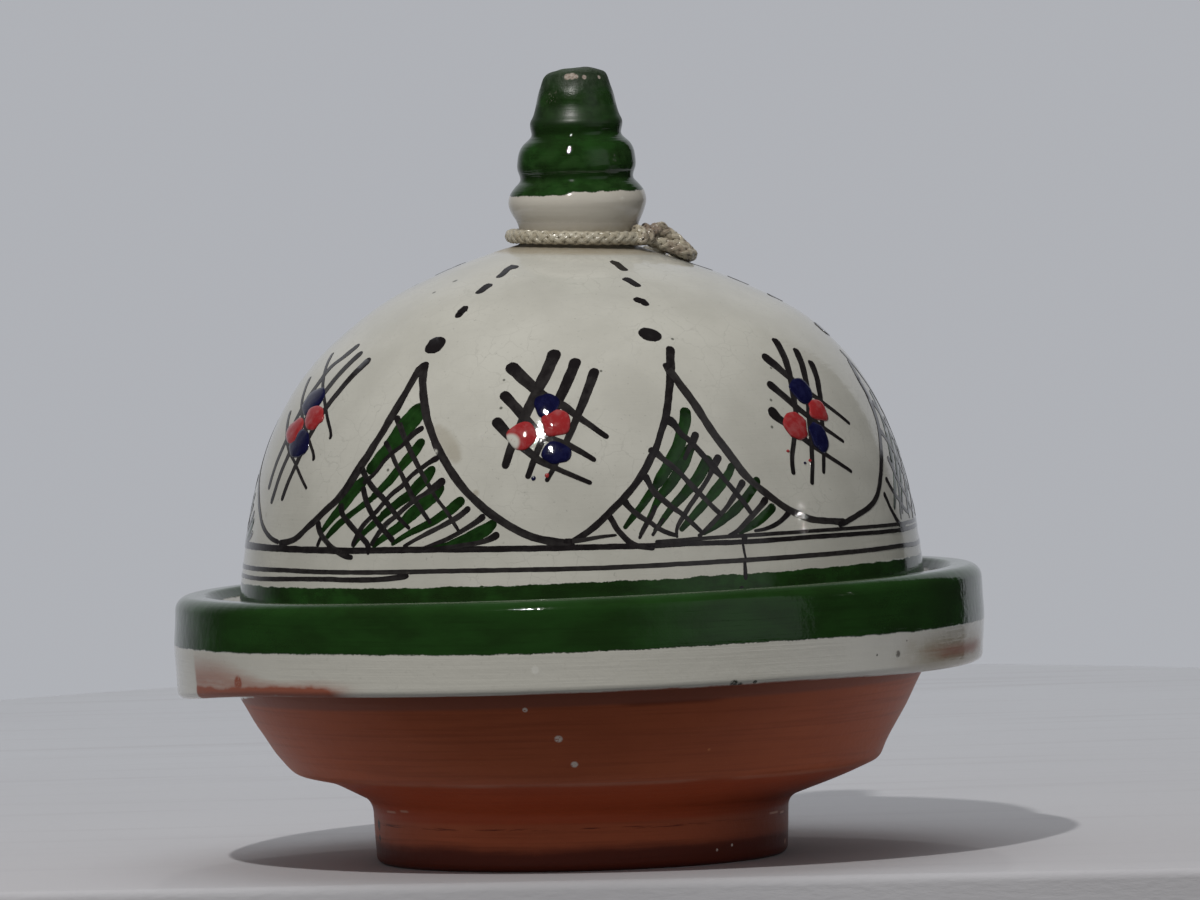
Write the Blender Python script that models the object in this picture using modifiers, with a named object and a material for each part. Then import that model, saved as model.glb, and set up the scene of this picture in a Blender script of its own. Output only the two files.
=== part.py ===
"""A small tagine in glazed earthenware: a footed bowl with a gallery for its lid, a domed lid with a
ringed knob, and a braided cord tied round the knob's neck.

Metres, +Z up. The origin is the centre of the foot's underside, and -Y is the side that faces the viewer.
"""

import math

import bmesh
import bpy
from mathutils import Matrix, Vector

# Clearance between two pieces that touch
TOUCH_GAP = 0.0003

# Bowl: the upright band round its rim
RIM_RADIUS = 0.0903
RIM_HEIGHT = 0.0621
BAND_HEIGHT = 0.0232
BAND_BELLY = 0.0006
LIP_ROUNDING = 0.0052
LIP_THICKNESS = 0.0066
BAND_EDGE = 0.0046
BAND_EDGE_ROUNDING = 0.0018
CHANNEL_DEPTH = 0.0040
CHANNEL_ROUNDING = 0.0016

# Bowl: the gallery inside the lip that carries the lid, with the play round the lid and the width of its seat
GALLERY_DEPTH = 0.0034
GALLERY_ROUNDING = 0.0012
LIP_LEAN = 0.0023
LID_PLAY = 0.0044
LID_SEAT = 0.0064

# Bowl: the flared body, its knuckle and the turned foot
MOUTH_WALL = 0.0059
BODY_FLARE = 0.0104
KNUCKLE_HEIGHT = 0.0208
KNUCKLE_ROUNDING = 0.0030
BOWL_WALL = 0.0064
BOWL_INSIDE_ROUNDING = 0.0100
BOWL_FLOOR_HEIGHT = 0.0145
BOWL_FLOOR_ROUNDING = 0.0200
FOOT_RADIUS = 0.0464
FOOT_HEIGHT = 0.0127
FOOT_TAPER = 0.0006
FOOT_FILLET = 0.0030
FOOT_RING_WIDTH = 0.0074
FOOT_ROUNDING = 0.0018
FOOT_RECESS = 0.0062

# Lid: the dome
LID_WALL = 0.0056
LID_EDGE_ROUNDING = 0.0014
DOME_HEIGHT = 0.0774
DOME_SIDE_LEAN = 5.1
DOME_SIDE_FULLNESS = 0.65
SHOULDER_SLOPE = 16.8
SHOULDER_FULLNESS = 0.69

# Lid: the neck and the knob, each ring as its radius and its height above the dome's shoulder
NECK_RADIUS = 0.0130
NECK_FILLET = 0.0009
KNOB_HEIGHT = 0.0394
KNOB_OUTLINE = (
    (0.0046, KNOB_HEIGHT - 0.0003),
    (0.0073, KNOB_HEIGHT - 0.0025),
    (0.0086, 0.0334),
    (0.0093, 0.0296),
    (0.0103, 0.0270),
    (0.0099, 0.0247),
    (0.0122, 0.0223),
    (0.0133, 0.0181),
    (0.0124, 0.0147),
    (0.0148, 0.0121),
    (0.0154, 0.0094),
    (0.0141, 0.0060),
    (NECK_RADIUS, 0.0030),
)

# Cord
CORD_DIAMETER = 0.0030
KNOT_LENGTH = 0.0122
KNOT_WIDTH = 0.0084
KNOT_HEIGHT = 0.0062
KNOT_ROUNDING = 0.0022
KNOT_BEARING = 8.0
KNOT_DISTANCE = 0.0204

# The two loose ends seen from above: the place along the knot where each leaves, then points chosen by hand
LONG_TAIL_EXIT = 0.0034
LONG_TAIL_PLAN = ((0.0224, 0.0163), (0.0198, 0.0232), (0.0152, 0.0290), (0.0092, 0.0331), (0.0025, 0.0352))
SHORT_TAIL_EXIT = -0.0010
SHORT_TAIL_PLAN = ((0.0174, 0.0154), (0.0140, 0.0205), (0.0090, 0.0241), (0.0032, 0.0262), (-0.0020, 0.0268))

# How finely the round shapes are divided, and the share of a short side that a rounded corner may take
TURN_STEPS = 48
ARC_STEP = math.radians(32)
DOME_STEPS = 11
KNOB_STEPS = 2
CORD_STEP = 0.0032
CORNER_SHARE = 0.45


def clear_scene():
    for thing in list(bpy.data.objects):
        bpy.data.objects.remove(thing)


def new_collection(name):
    collection = bpy.data.collections.new(name)
    bpy.context.scene.collection.children.link(collection)
    return collection


def new_material(name, colour, roughness):
    material = bpy.data.materials.new(name)
    material.use_nodes = True
    shader = material.node_tree.nodes["Principled BSDF"]
    shader.inputs["Base Color"].default_value = (*colour, 1.0)
    shader.inputs["Roughness"].default_value = roughness
    shader.inputs["Metallic"].default_value = 0.0
    return material


def rounded(corners):
    """The outline through corners (radius, height, rounding), with an arc at each corner that has a rounding.

    An arc is made smaller where the sides next to it are too short for it.
    """
    outline = []
    for index, (radius, height, rounding) in enumerate(corners):
        corner = Vector((radius, height))
        if rounding == 0:
            outline.append(corner)
            continue
        before = Vector(corners[index - 1][:2]) - corner
        after = Vector(corners[index + 1][:2]) - corner
        half_angle = before.angle(after) / 2
        room = CORNER_SHARE * min(before.length, after.length)
        reach = min(rounding / math.tan(half_angle), room)
        rounding = reach * math.tan(half_angle)
        middle = (before.normalized() + after.normalized()).normalized()
        centre = corner + middle * rounding / math.sin(half_angle)
        start = corner + before.normalized() * reach - centre
        end = corner + after.normalized() * reach - centre
        turn = math.atan2(start.cross(end), start.dot(end))
        steps = max(1, round(abs(turn) / ARC_STEP))
        for step in range(steps + 1):
            outline.append(centre + Matrix.Rotation(turn * step / steps, 2) @ start)
    return outline


def smooth_through(points, steps):
    """A smooth curve through the points, with this many steps from each to the next."""
    curve = []
    for index in range(len(points) - 1):
        before = points[max(index - 1, 0)]
        start, end = points[index], points[index + 1]
        after = points[min(index + 2, len(points) - 1)]
        for step in range(steps):
            t = step / steps
            curve.append(
                0.5
                * (
                    2 * start
                    + (end - before) * t
                    + (2 * before - 5 * start + 4 * end - after) * t**2
                    + (3 * start - before - 3 * end + after) * t**3
                )
            )
    curve.append(points[-1])
    return curve


def meeting(first, second, third, fourth):
    """Where the line through the first two points crosses the line through the other two."""
    along, across = second - first, fourth - third
    return first + along * (third - first).cross(across) / along.cross(across)


def moved_in(start, end, distance):
    """The line from start to end, moved to its left."""
    along = (end - start).normalized()
    shift = Vector((-along.y, along.x)) * distance
    return start + shift, end + shift


def gallery_height():
    return RIM_HEIGHT - GALLERY_DEPTH


def gallery_radius():
    return RIM_RADIUS - BAND_BELLY - LIP_THICKNESS - LIP_LEAN


def lid_radius():
    return gallery_radius() - LID_PLAY


def mouth_radius():
    return lid_radius() - LID_SEAT


def lid_edge_height():
    return gallery_height() + TOUCH_GAP


def shoulder_height():
    return lid_edge_height() + DOME_HEIGHT


def dome_point(t):
    """The dome's outline, from the lid's edge at t = 0 to the foot of the neck at t = 1, and its outward normal."""
    edge = Vector((lid_radius(), lid_edge_height()))
    top = Vector((NECK_RADIUS, shoulder_height()))
    lean, slope = math.radians(DOME_SIDE_LEAN), math.radians(SHOULDER_SLOPE)
    side = edge + Vector((-math.sin(lean), math.cos(lean))) * DOME_SIDE_FULLNESS * DOME_HEIGHT
    crown_reach = SHOULDER_FULLNESS * (lid_radius() - NECK_RADIUS)
    crown = top + Vector((math.cos(slope), -math.sin(slope))) * crown_reach
    u = 1 - t
    point = u**3 * edge + 3 * u**2 * t * side + 3 * u * t**2 * crown + t**3 * top
    along = u**2 * (side - edge) + 2 * u * t * (crown - side) + t**2 * (top - crown)
    return point, Vector((along.y, -along.x)).normalized()


def on_dome(x, y, height):
    """The point that lies this high above the dome, measured square to it, over (x, y)."""
    reach = math.hypot(x, y)
    low, high = 0.0, 1.0
    for _ in range(40):
        middle = (low + high) / 2
        if dome_point(middle)[0].x > reach:
            low = middle
        else:
            high = middle
    point, normal = dome_point(low)
    place = point + normal * height
    return Vector((x * place.x / reach, y * place.x / reach, place.y))


def turned(name, outline, material, collection):
    """A solid of revolution about Z. Its outline starts and ends on the axis and runs down the outer side."""
    mesh = bpy.data.meshes.new(name)
    shape = bmesh.new()
    corners = [shape.verts.new((point.x, 0, point.y)) for point in outline]
    for start, end in zip(corners, corners[1:]):
        shape.edges.new((start, end))
    shape.to_mesh(mesh)
    shape.free()
    mesh.materials.append(material)
    piece = bpy.data.objects.new(name, mesh)
    collection.objects.link(piece)
    screw = piece.modifiers.new("turn", "SCREW")
    screw.axis = "Z"
    screw.steps = TURN_STEPS
    screw.render_steps = TURN_STEPS
    screw.use_merge_vertices = True
    screw.merge_threshold = 0.00001
    screw.use_smooth_shade = True
    return piece


def tube(name, route, material, collection):
    """A length of cord along the route, with closed ends."""
    curve = bpy.data.curves.new(name, "CURVE")
    curve.dimensions = "3D"
    curve.bevel_depth = CORD_DIAMETER / 2
    curve.bevel_resolution = 2
    curve.use_fill_caps = True
    spline = curve.splines.new("POLY")
    spline.points.add(len(route) - 1)
    for point, place in zip(spline.points, route):
        point.co = (*place, 1)
    spline.use_smooth = True
    curve.materials.append(material)
    piece = bpy.data.objects.new(name, curve)
    collection.objects.link(piece)
    return piece


def bowl_outline():
    gallery = gallery_height()
    band_bottom = RIM_HEIGHT - BAND_HEIGHT
    body_top = Vector((mouth_radius() + MOUTH_WALL, band_bottom))
    knuckle = Vector((body_top.x - BODY_FLARE, KNUCKLE_HEIGHT))
    foot_top = Vector((FOOT_RADIUS, FOOT_HEIGHT))
    inner_side = moved_in(knuckle, body_top, BOWL_WALL)
    inner_cone = moved_in(foot_top, knuckle, BOWL_WALL)
    floor = Vector((0, BOWL_FLOOR_HEIGHT)), Vector((FOOT_RADIUS, BOWL_FLOOR_HEIGHT))
    mouth = Vector((mouth_radius(), 0)), Vector((mouth_radius(), gallery))
    channel_top = band_bottom + CHANNEL_DEPTH
    channel = Vector((0, channel_top)), Vector((RIM_RADIUS, channel_top))
    face = RIM_RADIUS - BAND_BELLY
    return rounded(
        [
            (*floor[0], 0),
            (*meeting(*floor, *inner_cone), BOWL_FLOOR_ROUNDING),
            (*meeting(*inner_cone, *inner_side), BOWL_INSIDE_ROUNDING),
            (*meeting(*inner_side, *mouth), BOWL_INSIDE_ROUNDING),
            (mouth_radius(), gallery, GALLERY_ROUNDING),
            (gallery_radius(), gallery, GALLERY_ROUNDING),
            (face - LIP_THICKNESS, RIM_HEIGHT, GALLERY_ROUNDING),
            (face, RIM_HEIGHT, LIP_ROUNDING),
            (RIM_RADIUS, RIM_HEIGHT - BAND_HEIGHT / 2, BAND_HEIGHT),
            (face, band_bottom, BAND_EDGE_ROUNDING),
            (face - BAND_EDGE, band_bottom, BAND_EDGE_ROUNDING),
            (face - BAND_EDGE, channel_top, CHANNEL_ROUNDING),
            (*meeting(*channel, knuckle, body_top), CHANNEL_ROUNDING),
            (*knuckle, KNUCKLE_ROUNDING),
            (*foot_top, FOOT_FILLET),
            (FOOT_RADIUS - FOOT_TAPER, 0, FOOT_ROUNDING),
            (FOOT_RADIUS - FOOT_RING_WIDTH, 0, FOOT_ROUNDING),
            (FOOT_RADIUS - FOOT_RING_WIDTH, FOOT_RECESS, FOOT_ROUNDING),
            (0, FOOT_RECESS, 0),
        ]
    )


def knob_outline():
    """From the knob's top on the axis down to its neck."""
    shoulder = shoulder_height()
    rings = [Vector((0, shoulder + KNOB_HEIGHT))]
    rings += [Vector((radius, shoulder + height)) for radius, height in KNOB_OUTLINE]
    return smooth_through(rings, KNOB_STEPS)


def lid_outline():
    outside = [dome_point(1 - step / DOME_STEPS)[0] for step in range(DOME_STEPS)]
    inside = []
    for step in range(1, DOME_STEPS + 1):
        point, normal = dome_point(step / DOME_STEPS)
        inside.append(point - normal * LID_WALL)
    edge = lid_edge_height()
    return rounded(
        [(*point, 0) for point in knob_outline()]
        + [(*outside[0], NECK_FILLET)]
        + [(*point, 0) for point in outside[1:]]
        + [(lid_radius(), edge, LID_EDGE_ROUNDING), (lid_radius() - LID_WALL, edge, LID_EDGE_ROUNDING)]
        + [(*point, 0) for point in inside]
        + [(0, inside[-1].y, 0)]
    )


def knot_place():
    """The matrix that takes the knot from the origin to its seat on the shoulder, its length pointing outwards."""
    bearing = math.radians(KNOT_BEARING)
    x, y = KNOT_DISTANCE * math.cos(bearing), KNOT_DISTANCE * math.sin(bearing)
    seat, above = on_dome(x, y, 0), on_dome(x, y, 1)
    up = (above - seat).normalized()
    side = up.cross(Vector((x, y, 0))).normalized()
    outwards = side.cross(up)
    turn = Matrix((outwards, side, up)).transposed().to_4x4()
    return Matrix.Translation(seat + up * (KNOT_HEIGHT / 2 + TOUCH_GAP)) @ turn


def knot(material, collection):
    """The knot's outer shape, one rounded block."""
    mesh = bpy.data.meshes.new("cord_knot")
    shape = bmesh.new()
    bmesh.ops.create_cube(shape, size=1)
    bmesh.ops.scale(shape, vec=(KNOT_LENGTH, KNOT_WIDTH, KNOT_HEIGHT), verts=shape.verts)
    shape.to_mesh(mesh)
    shape.free()
    mesh.materials.append(material)
    mesh.shade_smooth()
    piece = bpy.data.objects.new("cord_knot", mesh)
    piece.matrix_world = knot_place()
    collection.objects.link(piece)
    rounding = piece.modifiers.new("rounding", "BEVEL")
    rounding.width = KNOT_ROUNDING
    rounding.segments = 4
    rounding.limit_method = "NONE"


def neck_cord_route():
    """Once round the neck, from the knot's far side to its near side.

    Its ends meet the knot at a slant, so they stop a quarter of the cord's diameter short of it.
    """
    radius = NECK_RADIUS + TOUCH_GAP + CORD_DIAMETER / 2
    height = shoulder_height() + TOUCH_GAP + CORD_DIAMETER / 2
    half_gap = math.asin((KNOT_WIDTH / 2 + TOUCH_GAP + CORD_DIAMETER / 4) / radius)
    start = math.radians(KNOT_BEARING) + half_gap
    turn = math.tau - 2 * half_gap
    steps = math.ceil(radius * turn / CORD_STEP)
    route = []
    for step in range(steps + 1):
        angle = start + turn * step / steps
        route.append(Vector((radius * math.cos(angle), radius * math.sin(angle), height)))
    return route


def tail_route(exit_along_knot, plan):
    """From the knot's far side over the dome through the plan's points, resting on the dome."""
    seat = knot_place()
    drop = CORD_DIAMETER / 2 - KNOT_HEIGHT / 2
    points = []
    for distance in (TOUCH_GAP, CORD_DIAMETER):
        points.append(seat @ Vector((exit_along_knot, KNOT_WIDTH / 2 + distance, drop)))
    for x, y in plan:
        points.append(on_dome(x, y, TOUCH_GAP + CORD_DIAMETER / 2))
    stretches = [(end - start).length for start, end in zip(points, points[1:])]
    return smooth_through(points, round(sum(stretches) / len(stretches) / CORD_STEP))


def main():
    clear_scene()
    parts = new_collection("tagine")
    turned("bowl", bowl_outline(), new_material("glazed_terracotta", (0.26, 0.075, 0.035), 0.25), parts)
    turned("lid", lid_outline(), new_material("cream_glaze", (0.60, 0.58, 0.50), 0.22), parts)
    cord = new_material("cord", (0.50, 0.42, 0.30), 0.55)
    tube("neck_cord", neck_cord_route(), cord, parts)
    knot(cord, parts)
    tube("cord_tail_long", tail_route(LONG_TAIL_EXIT, LONG_TAIL_PLAN), cord, parts)
    tube("cord_tail_short", tail_route(SHORT_TAIL_EXIT, SHORT_TAIL_PLAN), cord, parts)


main()
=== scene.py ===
"""A small painted tagine: a footed bowl in clear-glazed terracotta with a green and cream rim, a cream lid
painted with lobes, brushed crosses and enamel beads, a green ringed knob, and a braided cord tied round the
knob's neck.

Metres, +Z up, -Y towards the viewer. A place on the lid is an azimuth, from the front towards +X, and a
climb, the distance up the dome's side from the lid's edge.
"""

import math
import random

import bmesh
import bpy
from mathutils import Matrix, Quaternion, Vector, noise
from mathutils.bvhtree import BVHTree


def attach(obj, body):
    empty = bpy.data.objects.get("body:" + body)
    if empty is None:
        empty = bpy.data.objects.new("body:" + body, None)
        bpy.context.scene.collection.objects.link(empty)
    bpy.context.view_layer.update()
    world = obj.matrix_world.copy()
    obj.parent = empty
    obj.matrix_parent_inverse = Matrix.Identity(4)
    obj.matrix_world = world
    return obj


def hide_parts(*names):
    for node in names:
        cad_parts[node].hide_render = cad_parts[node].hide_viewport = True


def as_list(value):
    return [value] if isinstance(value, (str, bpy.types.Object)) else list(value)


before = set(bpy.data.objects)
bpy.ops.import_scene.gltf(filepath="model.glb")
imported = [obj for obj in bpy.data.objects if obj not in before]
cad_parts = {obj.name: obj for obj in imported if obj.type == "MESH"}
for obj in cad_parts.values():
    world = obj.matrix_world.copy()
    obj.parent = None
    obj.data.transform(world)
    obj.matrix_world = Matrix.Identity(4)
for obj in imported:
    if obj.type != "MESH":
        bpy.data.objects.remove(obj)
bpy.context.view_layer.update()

MM = 0.001

# The photograph's frame, and the camera that sees what it shows
PICTURE_WIDTH, PICTURE_HEIGHT = 1200, 900
CAMERA_PLACE = Vector((0.0049, -2.5, 0.182))
CAMERA_AIM = Vector((0.0049, 0.0, 0.0906))
CAMERA_ROLL = math.radians(1.6)
LENS, SENSOR = 337.0, 36.0

# The cord, as in the part's source
TOUCH_GAP = 0.3 * MM
CORD_DIAMETER = 3.0 * MM
KNOT_WIDTH, KNOT_HEIGHT = 8.4 * MM, 6.2 * MM
KNOT_BEARING = math.radians(8)
KNOT_DISTANCE = 20.4 * MM
LONG_TAIL_EXIT = 3.4 * MM
LONG_TAIL_PLAN = ((0.0224, 0.0163), (0.0198, 0.0232), (0.0152, 0.0290), (0.0092, 0.0331), (0.0025, 0.0352))
SHORT_TAIL_EXIT = -1.0 * MM
SHORT_TAIL_PLAN = ((0.0174, 0.0154), (0.0140, 0.0205), (0.0090, 0.0241), (0.0032, 0.0262), (-0.0020, 0.0268))

# The dome and its neck
LID_RADIUS, LID_EDGE, LID_WALL = 76.4 * MM, 59.0 * MM, 5.6 * MM
DOME_HEIGHT, SHOULDER = 77.4 * MM, 136.4 * MM
DOME_SIDE_LEAN, DOME_SIDE_FULLNESS = math.radians(5.1), 0.65
SHOULDER_SLOPE, SHOULDER_FULLNESS = math.radians(16.8), 0.69
NECK_RADIUS = 13.0 * MM
DOME_STEPS = 84

# The knob's rings, in millimetres: radius and height above the table
KNOB_RINGS = (
    (0, 175.8), (3.4, 175.8), (5.4, 175.3), (6.9, 174.2), (7.8, 171.8), (8.5, 169.6), (9.1, 166.9),
    (9.6, 165.3), (10.2, 164.0), (10.25, 162.7), (10.0, 161.2), (10.5, 160.3), (11.9, 159.0), (12.8, 157.4),
    (13.2, 155.2), (13.2, 153.6), (12.7, 152.0), (12.75, 150.9), (13.9, 149.6), (14.9, 148.2),
    (15.4, 146.4), (15.2, 144.9), (14.5, 143.2), (13.6, 141.5), (13.1, 139.7), (13.0, 138.3),
)

# The bowl's outline in millimetres, from the floor inside to the foot: each corner's radius, height, rounding
BOWL_CORNERS = (
    (0, 14.5, 0), (34.25, 14.5, 20.0), (61.0, 25.9, 10.0), (70.0, 41.5, 10.0), (70.0, 58.7, 1.2),
    (80.8, 58.7, 1.2), (83.1, 62.1, 1.2), (89.7, 62.1, 5.2), (90.3, 50.5, 23.2), (89.7, 38.9, 1.8),
    (85.1, 38.9, 1.8), (85.1, 42.9, 1.6), (78.2, 42.9, 1.6), (72.7, 32.4, 20.0), (65.5, 20.8, 5.0),
    (46.4, 12.7, 3.6), (45.8, 0, 1.8), (39.0, 0, 1.8), (39.0, 6.2, 1.8), (0, 6.2, 0),
)
ARC_STEP = math.radians(9)
OUTLINE_STEP = 1.3 * MM
TURN_STEPS = 224

# The pot's faults: the slope at which the rim and the lid rise towards +X, how far the neck and the crown
# lean that way, how much the rim's lower edge is trimmed, and how much fuller the flare is at the left
RIM_SLANT = 0.0148
NECK_LEAN, CROWN_LEAN = 1.4 * MM, 0.3 * MM
RIM_TRIMMED, LEFT_FULLER = 2.7 * MM, 1.3 * MM

rng = random.Random(11)


# The pot's form


def ease(low, high, value):
    """0 below low, 1 above high, and smooth between them."""
    t = min(1.0, max(0.0, (value - low) / (high - low)))
    return t * t * (3 - 2 * t)


def rounded(corners):
    """The outline through the corners, with an arc at each corner that has a rounding."""
    outline = []
    for index, (radius, height, rounding) in enumerate(corners):
        corner = Vector((radius, height))
        if rounding == 0:
            outline.append(corner)
            continue
        before = Vector(corners[index - 1][:2]) - corner
        after = Vector(corners[index + 1][:2]) - corner
        half_angle = before.angle(after) / 2
        reach = min(rounding / math.tan(half_angle), 0.45 * min(before.length, after.length))
        rounding = reach * math.tan(half_angle)
        middle = (before.normalized() + after.normalized()).normalized()
        centre = corner + middle * rounding / math.sin(half_angle)
        start = corner + before.normalized() * reach - centre
        end = corner + after.normalized() * reach - centre
        turn = math.atan2(start.cross(end), start.dot(end))
        steps = max(1, round(abs(turn) / ARC_STEP))
        for step in range(steps + 1):
            outline.append(centre + Matrix.Rotation(turn * step / steps, 2) @ start)
    return outline


def smooth_through(points, steps):
    """A smooth curve through the points, with this many steps from each to the next."""
    curve = []
    for index in range(len(points) - 1):
        before = points[max(index - 1, 0)]
        start, end = points[index], points[index + 1]
        after = points[min(index + 2, len(points) - 1)]
        for step in range(steps):
            t = step / steps
            curve.append(
                0.5
                * (
                    2 * start
                    + (end - before) * t
                    + (2 * before - 5 * start + 4 * end - after) * t**2
                    + (3 * start - before - 3 * end + after) * t**3
                )
            )
    curve.append(points[-1])
    return curve


def spaced(outline):
    """The outline with its long straight stretches divided."""
    close = [outline[0]]
    for point in outline[1:]:
        steps = max(1, math.ceil((point - close[-1]).length / OUTLINE_STEP))
        start = close[-1]
        close += [start.lerp(point, step / steps) for step in range(1, steps + 1)]
    return close


def dome_point(t):
    """The dome's outline, from the lid's edge at 0 to the neck's foot at 1, and its outward normal."""
    edge, top = Vector((LID_RADIUS, LID_EDGE)), Vector((NECK_RADIUS, SHOULDER))
    leaning = Vector((-math.sin(DOME_SIDE_LEAN), math.cos(DOME_SIDE_LEAN)))
    side = edge + leaning * DOME_SIDE_FULLNESS * DOME_HEIGHT
    reach = SHOULDER_FULLNESS * (LID_RADIUS - NECK_RADIUS)
    crown = top + Vector((math.cos(SHOULDER_SLOPE), -math.sin(SHOULDER_SLOPE))) * reach
    u = 1 - t
    point = u**3 * edge + 3 * u**2 * t * side + 3 * u * t**2 * crown + t**3 * top
    along = u**2 * (side - edge) + 2 * u * t * (crown - side) + t**2 * (top - crown)
    return point, Vector((along.y, -along.x)).normalized()


DOME = [dome_point(step / DOME_STEPS) for step in range(DOME_STEPS + 1)]
CLIMBS = [0.0]
for lower, upper in zip(DOME, DOME[1:]):
    CLIMBS.append(CLIMBS[-1] + (upper[0] - lower[0]).length)


def on_outline(climb):
    """The dome's outline and normal at this climb."""
    climb = min(max(climb, 0.0), CLIMBS[-1] - 1e-7)
    low, high = 0, DOME_STEPS
    while high - low > 1:
        middle = (low + high) // 2
        if CLIMBS[middle] <= climb:
            low = middle
        else:
            high = middle
    share = (climb - CLIMBS[low]) / (CLIMBS[low + 1] - CLIMBS[low])
    return DOME[low][0].lerp(DOME[low + 1][0], share), DOME[low][1].lerp(DOME[low + 1][1], share).normalized()


def on_dome(x, y, height):
    """The point that lies this high above the dome, measured square to it, over (x, y)."""
    reach = math.hypot(x, y)
    low, high = 0.0, CLIMBS[-1]
    for _ in range(30):
        middle = (low + high) / 2
        if on_outline(middle)[0].x > reach:
            low = middle
        else:
            high = middle
    point, normal = on_outline(low)
    place = point + normal * height
    return Vector((x * place.x / reach, y * place.x / reach, place.y))


def slant(height):
    """How much a level rises towards +X: the rim and the lid do, the shoulder dips, and the knob is level."""
    shoulder = 0.018 * ease(0.118, 0.1285, height) + 0.036 * ease(0.1285, 0.1365, height)
    return RIM_SLANT * ease(0.020, 0.052, height) - shoulder + 0.048 * ease(0.1395, 0.146, height)


def thrown_uneven(point):
    """How far the potter's hands left the wall from a true circle."""
    reach = math.hypot(point.x, point.y)
    if reach < 2 * MM:
        return Vector((0, 0, 0))
    out = Vector((point.x / reach, point.y / reach, 0))
    slow = noise.noise(Vector((out.x * 1.3, out.y * 1.3, point.z * 22)))
    rings = noise.noise(Vector((out.x * 0.35, out.y * 0.35, point.z * 210 + 7)))
    return out * (0.25 * slow + 0.075 * rings) * MM * ease(0.004, 0.03, reach)


def settled(point):
    """Where a point of the true turned form lies on the pot.

    The rim and the lid sit a little askew, the knob leans, the rim's lower edge is trimmed higher from the
    front round to the right, and the flare over the foot is fuller at the left.
    """
    x, y, z = point
    reach = math.hypot(x, y)
    outer = ease(0.0755, 0.083, reach) if z > 0.045 else 1.0
    on_bowl = 0.0 if z > 0.0636 else 1.0
    low_flare = ease(0.012, 0.018, z) * (1 - ease(0.018, 0.026, z))
    shift = 0.4 * low_flare - 0.8 * outer * ease(0.018, 0.027, z) - 1.4 * (1 - ease(0.012, 0.018, z))
    shift *= on_bowl * MM
    shift += NECK_LEAN * ease(0.129, 0.137, z) + CROWN_LEAN * ease(0.150, 0.170, z)
    at_right = ease(0.5, 0.95, x / reach) if reach > MM else 0.0
    facing = -y / reach + 0.55 * at_right if reach > MM else 0.0
    trimmed = (RIM_TRIMMED - 0.6 * MM * at_right) * ease(0.0, 0.7, facing) * (1 - ease(0.041, 0.058, z))
    trimmed *= ease(0.0765, 0.0785, reach) * ease(0.030, 0.0385, z)
    fuller = LEFT_FULLER * ease(-0.015, -0.050, x) * ease(0.0655, 0.056, reach) * ease(0.005, 0.0125, z)
    return Vector((x + shift, y, z + slant(z) * x + trimmed + fuller)) + thrown_uneven(point)


def lid_settled(point):
    """As settled, for the lid, which has none of the bowl's own faults."""
    x, y, z = point
    shift = NECK_LEAN * ease(0.129, 0.137, z) + CROWN_LEAN * ease(0.150, 0.170, z)
    worn = 0.0
    if z > 0.170:
        worn = noise.noise(point * 260) * 0.42 * MM * ease(0.170, 0.1745, z)
        worn -= 0.5 * MM * ease(0.0, -0.006, x) * ease(0.172, 0.175, z)
    return Vector((x + shift, y, z + slant(z) * x + worn)) + thrown_uneven(point)


def on_lid(azimuth, climb, lift=0.0):
    """A place on the finished lid, lifted off its glaze."""
    point, normal = on_outline(climb)
    place = point + normal * lift
    return lid_settled(Vector((place.x * math.sin(azimuth), -place.x * math.cos(azimuth), place.y)))


def lid_normal(azimuth, climb):
    """The dome's outward normal at a place on the lid."""
    normal = on_outline(climb)[1]
    return Vector((normal.x * math.sin(azimuth), -normal.x * math.cos(azimuth), normal.y))


def set_up(name, form, finish):
    """The mesh's object, at the origin, smooth, with its finish."""
    mesh = bpy.data.meshes.new(name)
    form.to_mesh(mesh)
    form.free()
    mesh.shade_smooth()
    mesh.materials.append(finish)
    piece = bpy.data.objects.new(name, mesh)
    bpy.context.scene.collection.objects.link(piece)
    return piece


def thrown(name, outline, settle, finish):
    """A pot turned from an outline that runs from the axis round its wall and back to the axis.

    The attribute "along" keeps how far each place is along the outline.
    """
    form = bmesh.new()
    along = form.verts.layers.float.new("along")
    tip = bmesh.ops.create_vert(form, co=(outline[0].x, 0, outline[0].y))["vert"][0]
    walked = 0.0
    for before, point in zip(outline, outline[1:]):
        walked += (point - before).length
        tip = bmesh.ops.extrude_vert_indiv(form, verts=[tip])["verts"][0]
        tip.co = (point.x, 0, point.y)
        tip[along] = walked
    bmesh.ops.spin(
        form,
        geom=form.verts[:] + form.edges[:],
        axis=(0, 0, 1),
        cent=(0, 0, 0),
        angle=math.tau,
        steps=TURN_STEPS,
        use_merge=True,
    )
    bmesh.ops.remove_doubles(form, verts=form.verts[:], dist=1e-6)
    for vert in form.verts:
        vert.co = settle(vert.co)
    bmesh.ops.recalc_face_normals(form, faces=form.faces[:])
    return set_up(name, form, finish)


# The finishes


class Value:
    """A number, colour or vector that the nodes of a finish work out."""

    def __init__(self, finish, socket):
        self.finish = finish
        self.socket = socket

    def _math(self, operation, first, second):
        return self.finish.node("ShaderNodeMath", {0: first, 1: second}, operation=operation)

    def __add__(self, other):
        return self._math("ADD", self, other)

    def __radd__(self, other):
        return self._math("ADD", other, self)

    def __sub__(self, other):
        return self._math("SUBTRACT", self, other)

    def __rsub__(self, other):
        return self._math("SUBTRACT", other, self)

    def __mul__(self, other):
        return self._math("MULTIPLY", self, other)

    def __rmul__(self, other):
        return self._math("MULTIPLY", other, self)

    def __truediv__(self, other):
        return self._math("DIVIDE", self, other)


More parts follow.
